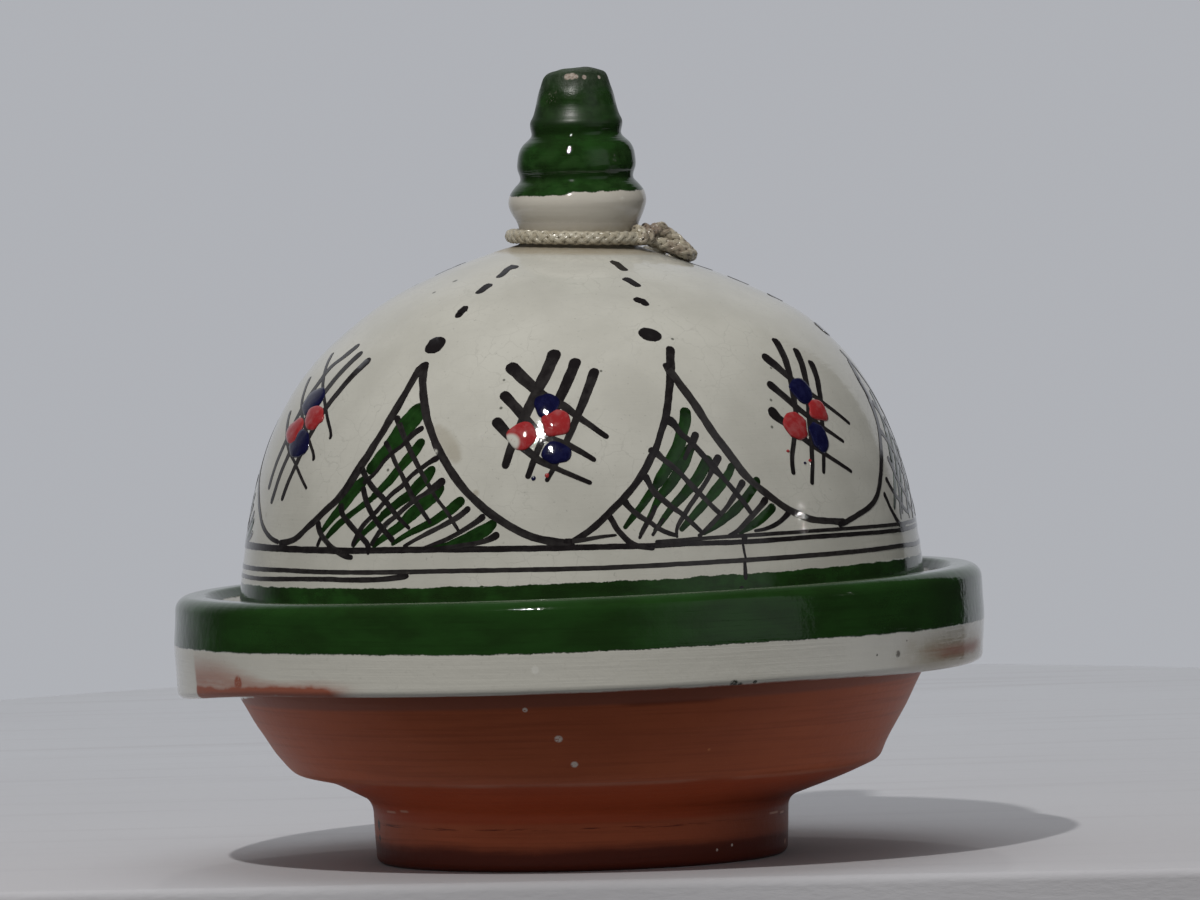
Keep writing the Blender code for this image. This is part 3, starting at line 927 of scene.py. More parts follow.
def lid_finish():
    """Cream glaze with fine crazing, green round the edge and over the knob, clay where the knob is worn."""
    finish = Finish("lid_glazes")
    walk = finish.node("ShaderNodeAttribute", {}, out="Fac", attribute_name="along") * 1000.0
    climb = LID_EDGE_WALK - walk
    around = finish.azimuth()
    cloud = finish.mottle(18, detail=4)
    fine = finish.mottle(1.2, detail=3)
    cream = finish.mix(finish.ease(0.3, 0.7, cloud), CREAM_DARK, CREAM_LIGHT)
    cream = finish.mix(finish.ease(0.55, 0.8, fine) * 0.22, cream, CREAM_GREY)
    speckle = finish.ease(0.71, 0.78, finish.mottle(0.7, detail=1, shift=12))
    cream = finish.mix(speckle * 0.30, cream, SPECK_GREY)
    bend = finish.node(
        "ShaderNodeTexNoise", {"Vector": finish.place, "Scale": 0.35, "Detail": 3.0}, out="Color"
    )
    bent = finish.node("ShaderNodeVectorMath", {0: bend, "Scale": 2.6}, operation="SCALE")
    bent = finish.node("ShaderNodeVectorMath", {0: finish.place, 1: bent}, operation="ADD")
    craze = finish.node(
        "ShaderNodeTexVoronoi", {"Vector": bent, "Scale": 0.17}, out="Distance", feature="DISTANCE_TO_EDGE"
    )
    crazing = finish.ease(0.020, 0.004, craze) * finish.ease(0.42, 0.62, cloud)
    cream = finish.mix(crazing * 0.16, cream, SPECK_GREY)
    neck_dust = finish.ease(102.6, 105.4, climb) * finish.ease(120.0, 112.0, climb)
    cream = finish.mix(neck_dust * (0.35 + 0.55 * fine), cream, CREAM_SOILED)
    smudged = 0.0
    for pixel, size, darkness in SMUDGES:
        smudged = finish.most(smudged, finish.near(seen_on(LID_TREE, pixel), size, 0.5) * darkness)
    cream = finish.mix(smudged, cream, SMUDGE)
    cream = finish.mix(finish.ease(139, 142, finish.z) * 0.8, cream, KNOB_CREAM)
    for pixel, size in PITS:
        pit = finish.near(seen_on(LID_TREE, pixel), size, 0.35)
        cream = finish.mix(pit * 0.75, cream, SPECK_DARK)

    wobble = finish.mottle(4.0, detail=4)
    grain = finish.mottle(0.45, detail=2)
    band_top = BAND_TOP + (wobble - 0.5) * 1.1 + (grain - 0.5) * 0.5
    band = finish.ease(0.12, -0.12, climb - band_top)
    knob_edge = KNOB_GREEN_EDGE + 0.65 * finish.ease(-9, 3, around) * finish.ease(150, 90, around)
    knob_edge = knob_edge + (wobble - 0.5) * 1.3
    knob_green = finish.ease(-0.1, 0.1, finish.z - knob_edge + (grain - 0.5) * 0.5)
    inside = finish.ease(-6.0, -9.5, climb + (wobble - 0.5) * 3)
    pool = finish.mottle(5.0, stretch=(2.0, 2.0, 1.0), detail=4)
    streak = finish.mottle(0.9, stretch=(12, 12, 0.6), detail=2)
    green_colour = finish.mix(finish.ease(0.3, 0.7, pool), GREEN_DEEP, GREEN_BRIGHT)
    blots = finish.mottle(2.4, stretch=(1.4, 1.4, 1.0), detail=4)
    green_colour = finish.mix(finish.ease(0.45, 0.68, blots) * 0.55, green_colour, GREEN_DEEP)
    green_colour = finish.mix(finish.ease(0.5, 0.8, streak) * 0.4, green_colour, GREEN_DEEP)
    thinned = 0.0
    for ridge in KNOB_RIDGES:
        thinned = finish.most(thinned, finish.ease(3.4, 0.8, finish.off(finish.z, ridge) + (pool - 0.5) * 3))
    thinned = thinned * finish.ease(0.60, 0.36, blots)
    green_colour = finish.mix(thinned * knob_green * 0.5, green_colour, GREEN_RIDGE)
    dusty = finish.ease(166, 175, finish.z) * finish.ease(0.35, 0.65, fine) * 0.5
    green_colour = finish.mix(dusty, green_colour, GREEN_DUSTY)

    clay = finish.mix(cloud, CLAY_DARK, CLAY_LIGHT)
    clay = finish.mix(finish.ease(0.5, 0.75, streak) * 0.3, clay, CLAY_DEEP)
    colour = finish.mix(inside, cream, clay)
    green_all = finish.most(band * (1 - inside), knob_green)
    colour = finish.mix(green_all, colour, green_colour)
    chips = 0.0
    for pixel, size in CROWN_CHIPS:
        chips = finish.most(chips, finish.near(seen_on(LID_TREE, pixel), size, 0.3))
    chips = chips * finish.ease(0.20, 0.34, finish.mottle(0.8, detail=2))
    worn = finish.mix(finish.ease(0.3, 0.7, grain), WORN_CLAY, WORN_PALE)
    colour = finish.mix(chips, colour, worn)
    scratch = finish.ease(0.60, 0.66, finish.mottle(0.5, stretch=(0.6, 0.6, 2)))
    scratch = scratch * finish.near(seen_on(LID_TREE, CROWN_SCRATCH), 1.4, 0.5)
    colour = finish.mix(scratch * 0.5, colour, WORN_PALE)

    glassy = 0.026 + 0.024 * finish.ease(0.45, 0.75, fine) + 0.5 * chips + 0.2 * dusty + inside * 0.1
    rough_top = finish.ease(168, 174, finish.z)
    bulge = finish.ease(162.0, 164.0, finish.z) * finish.ease(169.0, 166.5, finish.z)
    glassy = glassy + 0.06 * finish.ease(161.5, 164.0, finish.z) + 0.30 * bulge
    glassy = glassy + 0.50 * rough_top + 0.35 * neck_dust
    ringed = knob_green * finish.ease(163.5, 160.5, finish.z)
    surface = green_all * 0.9 + finish.mottle(6.0, detail=3) * 0.9
    surface = surface + streak * (0.3 + 0.8 * ringed) - chips * 0.8
    surface = surface + rough_top * finish.mottle(0.9, detail=3) * 2.2 + grain * 0.12 - crazing * 0.10
    finish.set(Base_Color=colour, Roughness=glassy, Normal=finish.bump(surface, 0.09))
    finish.set(IOR=1.5)
    return finish.material


def seen_on(tree, pixel):
    """The place on a pot that a pixel of the photograph shows, or its outline for a pixel just beside it."""
    x, y = pixel
    for _ in range(60):
        hit = tree.ray_cast(CAMERA_PLACE, sight((x, y)))[0]
        if hit:
            return hit
        x += 0.5 if x < AXIS_PIXEL else -0.5
    raise ValueError(f"no pot at {pixel}")


def tree_of(piece):
    """The piece's surface, for the rays from the camera."""
    places = [vert.co for vert in piece.data.vertices]
    return BVHTree.FromPolygons(places, [face.vertices[:] for face in piece.data.polygons])


AXIS_PIXEL = 583
BOWL_OUTLINE = bowl_outline()
PLAIN = bpy.data.materials.new("unglazed")
bowl = thrown("footed_bowl", BOWL_OUTLINE, settled, PLAIN)
lid = thrown("painted_lid", LID_OUTLINE, lid_settled, PLAIN)
BOWL_TREE, LID_TREE = tree_of(bowl), tree_of(lid)

# How far along the bowl's outline the lip's crest is, and where the green starts on its inner side
LIP_WALK = GREEN_STARTS_WALK = 0.0
walked = 0.0
for before, point in zip(BOWL_OUTLINE, BOWL_OUTLINE[1:]):
    walked += (point - before).length
    if point.x > 0.0815 and GREEN_STARTS_WALK == 0.0:
        GREEN_STARTS_WALK = walked / MM
    if point.x > 0.0845 and LIP_WALK == 0.0:
        LIP_WALK = walked / MM

CLAY_DARK, CLAY_LIGHT, CLAY_DEEP = (0.345, 0.081, 0.034), (0.47, 0.121, 0.051), (0.235, 0.054, 0.024)
# The pale clay colour on the next line serves pale marks on the foot and the painted highlight along the
# flare's bend
CLAY_ORANGE, CLAY_RED, CLAY_PALE_AND_HIGHLIGHT = (0.54, 0.18, 0.07), (0.39, 0.058, 0.018), (0.54, 0.30, 0.22)
# The second colour on the next line is the painted shade low on the pot at the right
CLAY_POOLED, CLAY_SHADED, RIM_CLAY = (0.095, 0.018, 0.011), (0.15, 0.028, 0.013), (0.27, 0.088, 0.056)
CREAM_DARK, CREAM_LIGHT, CREAM_GREY = (0.455, 0.445, 0.395), (0.52, 0.51, 0.455), (0.37, 0.355, 0.31)
# The second colour on the next line is a pale cream for painted highlights
SLIP_PALE, CREAM_HIGHLIGHT, KNOB_CREAM = (0.555, 0.54, 0.485), (0.62, 0.61, 0.56), (0.535, 0.50, 0.435)
CREAM_SOILED, SMUDGE = (0.30, 0.24, 0.15), (0.24, 0.20, 0.13)
GREEN_DEEP, GREEN_BRIGHT, GREEN_THIN_AND_SHEEN = (0.0095, 0.024, 0.0055), (0.0155, 0.054, 0.010), (0.045, 0.090, 0.040)
GREEN_DUSTY, GREEN_RIDGE = (0.032, 0.055, 0.024), (0.026, 0.064, 0.017)
SPECK_PALE, SPECK_DARK, SPECK_GREY = (0.74, 0.64, 0.58), (0.02, 0.025, 0.015), (0.17, 0.16, 0.14)
WORN_CLAY, WORN_PALE = (0.26, 0.20, 0.165), (0.42, 0.37, 0.32)

# Pinholes, specks and chips in the bowl's glaze, and one painted highlight on a small bump: pixel, size and
# colour
BOWL_SPECKS = (
    ((525, 710), 0.55, SPECK_PALE),
    ((558.5, 739), 0.85, SPECK_PALE),
    ((574.5, 764.5), 0.75, SPECK_PALE),
    ((709, 749.5), 0.35, CLAY_ORANGE),
    ((717, 850), 0.3, SPECK_PALE),
    ((732, 845), 0.3, SPECK_PALE),
    ((734, 683.5), 0.9, SPECK_DARK),
    ((740, 684), 0.5, SPECK_DARK),
    ((755, 682), 0.5, SPECK_DARK),
    ((898, 654), 0.75, SPECK_GREY),
    ((877, 655), 0.25, SPECK_DARK),
    ((907, 640.5), 0.22, SPECK_DARK),
    ((238, 683), 1.5, RIM_CLAY),
    # Painted highlight on a small bump in the rim's cream
    ((535, 670), 0.8, CREAM_HIGHLIGHT),
    ((379, 825), 1.2, SPECK_DARK),
    ((380, 838), 0.8, SPECK_DARK),
    ((785, 841), 0.6, CLAY_PALE_AND_HIGHLIGHT),
)

# Where the foot's glaze is scored level: pixel, and how far to each side in millimetres
FOOT_SCORES = (((391, 812), 2.2), ((404, 811.5), 1.6), ((774, 812.5), 2.4), ((782, 812), 1.4))

# Where the lid's glaze is stained brown beside the left green area: pixel, size and strength
SMUDGES = (
    ((438, 430), 1.3, 0.30), ((441, 434), 1.6, 0.34), ((444, 438), 1.8, 0.36), ((447, 442), 1.9, 0.38),
    ((449.5, 446), 1.9, 0.40), ((452, 450), 1.8, 0.42), ((454, 454), 1.6, 0.42), ((456, 458), 1.2, 0.38),
    ((476, 493), 0.7, 0.45), ((266, 515), 0.5, 0.3),
)

# Pits in the lid's glaze: pixel and size
PITS = (
    ((455, 281), 0.6), ((434, 292.5), 0.45), ((504, 380), 0.3), ((501, 408), 0.35), ((771, 368), 0.3),
    ((771, 400), 0.35), ((772, 427), 0.35), ((672.5, 339), 0.35), ((388, 470), 0.35), ((601, 371), 0.3),
)

# Where the knob's crown is worn to the clay, and the heights of its rings, where the green glaze ran thin
CROWN_CHIPS = (
    ((567.5, 76.5), 0.75), ((572, 76), 0.8), ((576, 76.5), 0.5), ((584.2, 77), 0.5), ((599, 77), 0.42),
)
CROWN_SCRATCH = (552, 97)
KNOB_RIDGES = (167.5, 155.5, 148.9)

bowl.data.materials[0] = bowl_finish()
lid.data.materials[0] = lid_finish()
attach(bowl, "bowl")
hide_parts("bowl")
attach(lid, "lid")
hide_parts("lid")

# The lid's painting
# A brush stroke is its width at its start and at its end, in pixels of the photograph, then the pixels that
# it passes, or else each pixel that it passes with its width there

CROSS_MIDDLE = (
    (10, 6, (556.5, 349.5), (546, 373), (535, 395), (524, 418), (512, 445), (504.5, 469)),
    (9, 4.5, (577, 358), (566, 385), (558, 402), (548, 430), (540, 445), (527, 479)),
    (8, 3.5, (595.5, 368), (586, 395), (578, 415), (568, 438), (558, 460), (546, 482)),
    (11, 4, (508.5, 363.5), (520, 375.5), (533, 387), (545, 397), (565, 407), (580, 418), (608.5, 438)),
    (9, 4, (502, 392), (515, 407), (533, 427), (545, 436), (570, 446), (596, 461)),
    (9, 3.5, (494, 418.5), (505, 431), (515, 441), (530, 453), (540, 461), (555, 468), (592, 483.5)),
)
CROSS_LEFT = (
    (
        4.5, 3, (360, 344), (345, 356), (330, 368), (318, 384), (305, 403), (296, 420), (286, 441),
        (277, 462), (268.5, 490),
    ),
    (
        4.5, 3, (363, 351.5), (350, 363), (336, 378), (325, 392), (310, 412), (300, 431), (290, 452),
        (282, 470), (271, 504),
    ),
    (5, 3, (371, 358), (355, 373), (340, 390), (326, 408), (309, 437), (296, 465), (288, 483), (281.5, 501)),
    (4.5, 3, (333, 353), (327, 365), (323, 383), (324, 398), (326, 410), (331, 433), (329, 439)),
    (4.5, 3, (310.5, 377), (305, 390), (301.5, 408), (306, 430), (313, 452), (313.5, 461)),
    (4.5, 3, (290.5, 411), (287.5, 425), (287, 440), (290, 453), (296, 465), (307, 489)),
)
CROSS_RIGHT = (
    (
        7, 3.5, (774, 338), (782, 352), (788, 368), (791, 382), (794, 400), (796, 415), (794, 440),
        (792, 458), (793.5, 475),
    ),
    (7, 3.5, (795, 348), (802, 365), (806, 382), (809, 415), (811, 440), (812, 485)),
    (7, 3, (810, 360), (816, 375), (820, 395), (822.5, 430), (823.5, 474)),
    (6.5, 3, (762, 354), (775, 365), (788, 376), (800, 386), (825, 404), (850, 424)),
    (6.5, 3, (767, 382), (778, 391), (800, 410), (824, 428), (844, 442)),
    (8, 3, (769, 407.5), (778, 418), (787, 424), (808, 442), (828, 456), (852, 472)),
)

# An enamel bead is its middle, its width and its height, in pixels
BLUE_MIDDLE = (((546.5, 405.5), 22, 28), ((555, 453), 26, 22))
RED_MIDDLE = (((522, 436), 27, 27), ((557, 423), 28, 24))
BLUE_LEFT = (((313, 401.5), 21, 27), ((299, 444), 19, 29))
RED_LEFT = (((294, 432), 14, 26), ((314, 418), 17, 24))
BLUE_RIGHT = (((801.5, 391), 19, 28), ((818.5, 436), 15, 30))
RED_RIGHT = (((796, 426), 20, 28), ((817.5, 410), 17, 22))
BLUE_SPLASHES = (((533.5, 478.5), 4.5, 4.5), ((805, 463), 2.5, 2.5))
RED_SPLASHES = (((547, 475.5), 4, 5), ((788, 451), 3, 3), ((810, 460.5), 3, 3))

LEFT_LOBE_SIDES = (
    (
        (429, 363, 5), (420, 369, 8), (412, 382, 7), (404, 396, 7), (395, 411, 8), (385, 428, 7),
        (375, 444, 7), (365, 460, 8), (358, 470, 9), (348, 486, 8), (338, 499, 8), (328, 508, 7),
        (318, 518, 7), (308, 527, 7), (297, 537.5, 7), (289, 541.5, 7), (279, 542.5, 6),
    ),
    (
        (427, 364, 5), (423, 374, 9), (423, 388, 8), (424, 400, 9), (426, 414, 9), (430, 428, 8),
        (435, 442, 8), (441, 454, 9), (447, 465, 8), (455, 477, 9), (464, 489, 8), (475, 500, 8),
        (487, 511, 9), (500, 520, 8), (515, 529, 8), (532, 537, 8), (552, 541.5, 8), (575, 543, 7),
    ),
)
LEFT_DOWNSTROKES = (
    (
        (396, 416, 7), (401, 428, 7), (406, 441, 6), (412, 454, 6), (419, 468, 5), (427, 482, 5),
        (437, 499, 4), (447, 512, 4), (455, 525, 4), (460, 533, 3),
    ),
    (
        (385, 441, 6), (391, 452, 5), (396, 464, 5), (402, 475, 5), (407, 486, 6), (414, 499, 6),
        (421, 509, 5), (431, 524, 4),
    ),
    ((361, 466, 7), (366, 477, 6), (374, 489, 6), (382, 497, 6), (390, 507, 6), (398, 517, 5), (410, 529, 4)),
    ((363, 486, 6), (365, 497, 6), (369, 508, 6), (375, 519, 6), (382, 528, 6), (394, 542, 6)),
    ((341, 503, 7), (342, 513, 6), (348, 522, 6), (355, 530, 6), (362, 538, 6), (368, 545, 6), (368, 555, 3)),
    (
        (318, 521, 6), (320, 532, 6), (325, 540, 6), (331, 547, 6), (340, 553, 7), (346, 556.5, 6),
        (353, 557.5, 5),
    ),
)
LEFT_UPSTROKES = (
    ((424, 427, 5), (413, 434, 6), (404, 444, 4), (395, 451, 4), (385, 460, 4), (376, 472, 4), (363, 484, 5)),
    (
        (439, 457, 8), (430, 462, 5), (420, 469, 5), (410, 477, 4.5), (402, 486, 5), (393, 493, 5),
        (386, 500, 4.5), (378, 510, 5), (370, 518, 5), (362, 527, 5), (356, 538, 5), (352, 547, 4),
    ),
    (
        (445, 479, 8), (435, 487, 8), (425, 494, 5), (416, 499, 5), (405, 508, 5), (395, 517, 5),
        (386, 524, 6), (378, 534, 5), (371, 546, 5),
    ),
    ((470, 507, 7), (462, 514, 6), (453, 520, 6), (440, 527, 5), (428, 533, 5), (415, 540, 4), (403, 547, 4)),
    ((485, 515, 7), (475, 523, 6), (465, 529, 5), (455, 535, 5), (445, 540, 5), (432, 545, 4), (422, 549, 4)),
    ((499, 533, 8), (492, 538, 7), (480, 542.5, 5), (465, 545, 5), (448, 547.5, 5), (435, 549, 5)),
    ((317, 547, 3.5), (321, 537, 3.5)),
)
LEFT_GREEN = (
    (
        (424, 403, 8), (419, 410, 14), (412, 419, 16), (404, 429, 16), (395, 441, 14), (384, 454, 12),
        (367, 473, 10),
    ),
    ((367, 478, 8), (357, 487, 11), (348, 498, 11), (340, 509, 9), (332, 518, 7), (320, 534, 4)),
    ((424, 439, 7), (417, 448, 9), (409, 458, 9), (399, 469, 8), (389, 481, 8), (380, 490, 7), (371, 499, 6)),
    ((374, 497, 6), (362, 506, 6), (350, 515, 6), (339, 524, 7), (331, 532, 6), (324, 541, 4)),
    (
        (434, 466, 5), (429, 474, 10), (420, 484, 11), (410, 494, 10), (401, 501, 9), (391, 509, 8),
        (380, 518, 7),
    ),
    ((384, 515, 7), (369, 528, 6), (360, 537, 5), (352, 547, 4)),
    (
        (442, 483, 8), (436, 492, 12), (425, 503, 12), (412, 514, 11), (401, 525, 9), (391, 532, 8),
        (372, 547, 5),
    ),
    (
        (464, 498, 8), (456, 505, 10), (446, 513, 9), (435, 520, 8), (422, 527, 7), (408, 534, 6),
        (391, 545, 4),
    ),
    ((496, 521, 6), (488, 528, 11), (477, 535, 13), (463, 541, 11), (448, 546, 8), (430, 549, 5)),
)
RIGHT_LOBE_SIDES = (
    (
        (670, 346, 9), (670.5, 358, 9), (670.5, 372, 9), (669.5, 388, 8), (668, 402, 8), (666, 416, 8),
        (661, 432, 7), (656.5, 447, 7), (650, 460, 8), (643, 473, 8), (634, 486, 7), (624, 498, 7.5),
        (613, 509, 7), (603, 519, 7), (588, 532, 7), (570, 543, 6),
    ),
    (
        (664, 363, 5), (670, 371, 8), (677, 380, 8), (685, 391, 8), (694, 403, 8), (703, 417, 8),
        (712, 431, 8), (722, 445, 8), (731, 456, 8), (741, 470, 8), (750, 480, 7), (763, 491, 7),
        (775, 500, 7), (788, 509, 7), (800, 515, 8), (815, 520, 7), (846, 522, 7),
    ),
)
RIGHT_DOWNSTROKES = (
    (
        (666, 418, 10), (674, 424, 8), (680, 433, 6), (690, 441, 6), (700, 452, 6), (708, 461, 6),
        (714, 468, 8), (723, 478, 5), (732, 488, 5), (742, 500, 5), (752, 514, 5),
    ),
    (
        (648, 450, 7), (655, 452, 8), (662, 458, 6), (672, 466, 6), (682, 475, 5), (692, 486, 6),
        (703, 497, 5), (713, 507, 5), (723, 516, 5),
    ),
    (
        (644, 474, 8), (649, 483, 6), (655, 493, 7), (663, 500, 6), (672, 507, 6), (682, 514, 5),
        (692, 523, 5), (703, 533, 4),
    ),
    (
        (623, 499, 9), (629, 507, 6), (638, 515, 6), (648, 521, 5), (658, 528, 5), (668, 533, 5),
        (677, 535.5, 4),
    ),
    ((607, 513, 7), (612, 520, 6), (617, 529, 6), (624, 537, 6), (632, 544, 7), (642, 547, 5), (655, 548, 6)),
)
RIGHT_UPSTROKES = (
    ((656, 505, 5), (651, 517, 5), (646, 525, 5), (639, 539, 3)),
    ((652, 536, 3.5), (658, 527, 3), (664, 518, 3)),
    ((697, 432, 8), (693, 441, 8), (688, 451, 5), (684, 460, 4)),
    (
        (720, 455, 8), (714, 465, 8), (710, 475, 5), (704, 485, 5), (696, 497, 5), (689, 507, 5),
        (683, 517, 5), (677, 528, 4), (677, 538, 3),
    ),
    ((744, 480, 8), (738, 490, 6), (732, 500, 6), (726, 508, 5), (719, 516, 5), (710, 526, 5), (698, 537, 4)),
    ((767, 498, 8), (760, 507, 6), (753, 515, 6), (745, 524, 6), (738, 531, 5), (728, 536, 4)),
    ((790, 511, 7), (783, 519, 5), (775, 525, 5), (765, 529, 4), (754, 531, 3)),
)
RIGHT_GREEN = (
    (
        (685, 407, 10), (685, 420, 11), (681, 437, 12), (676, 452, 12), (668, 466, 12), (661, 478, 11),
        (655, 488, 9),
    ),
    ((657, 485, 9), (648, 497, 8), (640, 508, 7), (632, 518, 6), (624, 529, 4)),
    (
        (692, 444, 8), (686, 458, 11), (678, 472, 11), (670, 485, 10), (661, 496, 9), (652, 512, 5),
        (640, 536, 4),
    ),
    (
        (710, 456, 10), (704, 467, 11), (697, 479, 11), (689, 489, 10), (680, 499, 9), (671, 509, 7),
        (654, 532, 4),
    ),
    (
        (733, 463, 7), (729, 473, 8), (722, 483, 10), (714, 493, 10), (706, 502, 8), (697, 512, 8),
        (680, 531, 5),
    ),
    ((758, 477, 7), (754, 487, 9), (747, 497, 9), (738, 507, 9), (727, 517, 8), (715, 526, 7), (702, 534, 5)),
    ((775, 505, 9), (768, 512, 9), (760, 520, 9), (750, 527, 7), (738, 533, 5)),
)
LEFT_DASHES = (
    (5, 4, (517.5, 268), (510, 267.5), (502.5, 274), (497.5, 278)),
    (5, 4.5, (491, 283.5), (485, 287.5), (477, 294)),
    (5, 5, (468.7, 307.5), (462.5, 310), (457.5, 318)),
)
RIGHT_DASHES = (
    (4, 6, (610, 262.5), (616, 263.5), (625.6, 271)),
    (5, 5, (623, 278), (629, 280.5), (639.7, 287)),
    (5, 5, (633.5, 300.6), (641, 300.5), (647.5, 306)),
)
LEFT_DOT = ((424.5, 349.5, 12), (430, 347.5, 15), (437, 344, 15), (446, 340, 11))
RIGHT_DOT = ((638, 333, 9), (645, 333.5, 12), (654, 335.5, 12), (662, 337, 9))

MAIN_LINE = (
    7.5, 4.5, (247.5, 545), (266, 547.5), (285, 548.7), (345, 550.6), (431, 549.6), (516, 548.8), (600, 547),
    (655, 545.5), (690, 543.5), (745, 541.8), (816, 536.6), (860, 533.6), (903, 529.6),
)
SECOND_LINE = (4, 4, (655, 542), (700, 538.5), (745, 535.5), (816, 530.7), (860, 527.5), (901, 523.7))
THIN_LINE = (
    4.5, 4.5, (243.7, 566), (260, 569), (289, 570.5), (345, 572.5), (466, 570.8), (600, 568), (698, 563),
    (816, 555), (878, 549), (898, 546), (914, 544),
)
LOW_STROKE = (
    4.5, 6, (245, 576), (260, 578.7), (290, 579), (324, 579.2), (345, 580), (380, 579.5), (409, 576),
)
LOBE_TAIL = (6, 3, (563, 541.5), (580, 540.5), (600, 537), (617, 535))
TICKS = (
    (6.5, 6, (744.5, 534.5), (744.5, 539), (744, 544)),
    (2.6, 2.2, (743, 544), (744, 551), (746, 559)),
    (3, 4.5, (744.5, 561), (745, 566), (745.5, 573), (745.5, 580)),
    (5, 4, (741, 586), (742, 589), (743, 592)),
)
RIGHT_LOBE_FAR_SIDE = (
    6, 6, (848, 360), (858, 378), (868, 396), (875, 414), (879, 430), (881, 450), (881, 470), (879, 488),
    (875, 500), (868, 508), (856, 516), (846, 522), (838, 525),
)
LEFT_LOBE_FAR_SIDE = ((258.8, 495), (260, 512), (263, 526), (270, 537), (279, 542.5))

# Where the painter set the lobes' points, by azimuth, the hidden ones spaced evenly between the seen ones
LEFT_POINT, RIGHT_POINT, FAR_RIGHT_POINT, FAR_LEFT_POINT = -34.3, 20.6, 82.0, -98.0
FAR_RIGHT_DASHES, FAR_RIGHT_DROP = 87.0, 2.4 * MM
HIDDEN_POINTS = (140.0, 201.0)
HIDDEN_CROSSES = (109.5, 170.5, 231.5)
HIDDEN_STRETCH = 1.1

STROKE_STEP = 1.15 * MM
PIXEL = 0.2227 * MM
PAINT_SINK = 0.09 * MM
BEAD_FULLNESS = 1.1
WIDEST_BEAD, WIDEST_COPY = 9.4 * MM, 6.6 * MM


def lid_spot(pixel):
    """The azimuth and climb of what a pixel of the photograph shows of the lid."""
    seen = seen_on(LID_TREE, pixel)
    place = seen.copy()
    for _ in range(4):
        place -= lid_settled(place) - seen
    low, high = 0.0, CLIMBS[-1]
    for _ in range(30):
        middle = (low + high) / 2
        if on_outline(middle)[0].y < place.z:
            low = middle
        else:
            high = middle
    return Vector((math.atan2(place.x, -place.y), low))


def widened(spots):
    """The stroke through these spots, whose widths are in pixels, with its true widths on the lid."""
    curve = smooth_through(spots, 5)
    stroke = []
    for index, spot in enumerate(curve):
        ahead, behind = curve[min(index + 1, len(curve) - 1)], curve[max(index - 1, 0)]
        along = on_lid(*ahead[:2]) - on_lid(*behind[:2])
        side = along.cross(lid_normal(*spot[:2])).normalized()
        view = (on_lid(*spot[:2]) - CAMERA_PLACE).normalized()
        seen = max(0.42, math.sqrt(max(0.0, 1 - side.dot(view) ** 2)))
        stroke.append(Vector((*spot[:2], spot.z * PIXEL / seen)))
    return stroke


def brushed(stroke, fullness=1.0):
    """A stroke that the photograph shows, with a width at each pixel, or at its start and at its end."""
    if isinstance(stroke[0], tuple):
        pixels = [spot[:2] for spot in stroke]
        widths = [spot[2] for spot in stroke]
    else:
        wide, narrow, *pixels = stroke
        widths = [wide + (narrow - wide) * step / (len(pixels) - 1) for step in range(len(pixels))]
    return widened([Vector((*lid_spot(pixel), width * fullness)) for pixel, width in zip(pixels, widths)])


def carried(stroke, source, target, stretch=1.0, rise=0.0):
    """A stroke painted again at another azimuth, in degrees, a little differently."""
    source, target = math.radians(source), math.radians(target)
    raised, fuller = rise + rng.uniform(-0.5, 0.5) * MM, rng.uniform(0.9, 1.12)
    turned = rng.uniform(-0.008, 0.008)
    return [
        Vector((target + (azimuth - source) * stretch + turned, climb + raised, width * fuller))
        for azimuth, climb, width in stroke
    ]


def carried_all(strokes, source, target, stretch=1.0, rise=0.0):
    """Several strokes painted again together."""
    return [carried(stroke, source, target, stretch, rise) for stroke in strokes]


def all_round(stroke):
    """A line that goes on round the back of the lid to its own start."""
    start, end = stroke[0], stroke[-1]
    back = [stroke[-4], end]
    turn = start.x + math.tau - end.x
    steps = 22
    for step in range(1, steps):
        share = step / steps
        azimuth = end.x + turn * share
        sway = 0.35 * MM * noise.noise(Vector((3 * math.sin(azimuth), 3 * math.cos(azimuth), end.y * 900)))
        back.append(Vector((azimuth, end.y + (start.y - end.y) * share + sway, end.z)))
    back += [Vector((spot.x + math.tau, *spot[1:])) for spot in (start, stroke[4])]
    return stroke[:-1] + smooth_through(back[1:], 4)


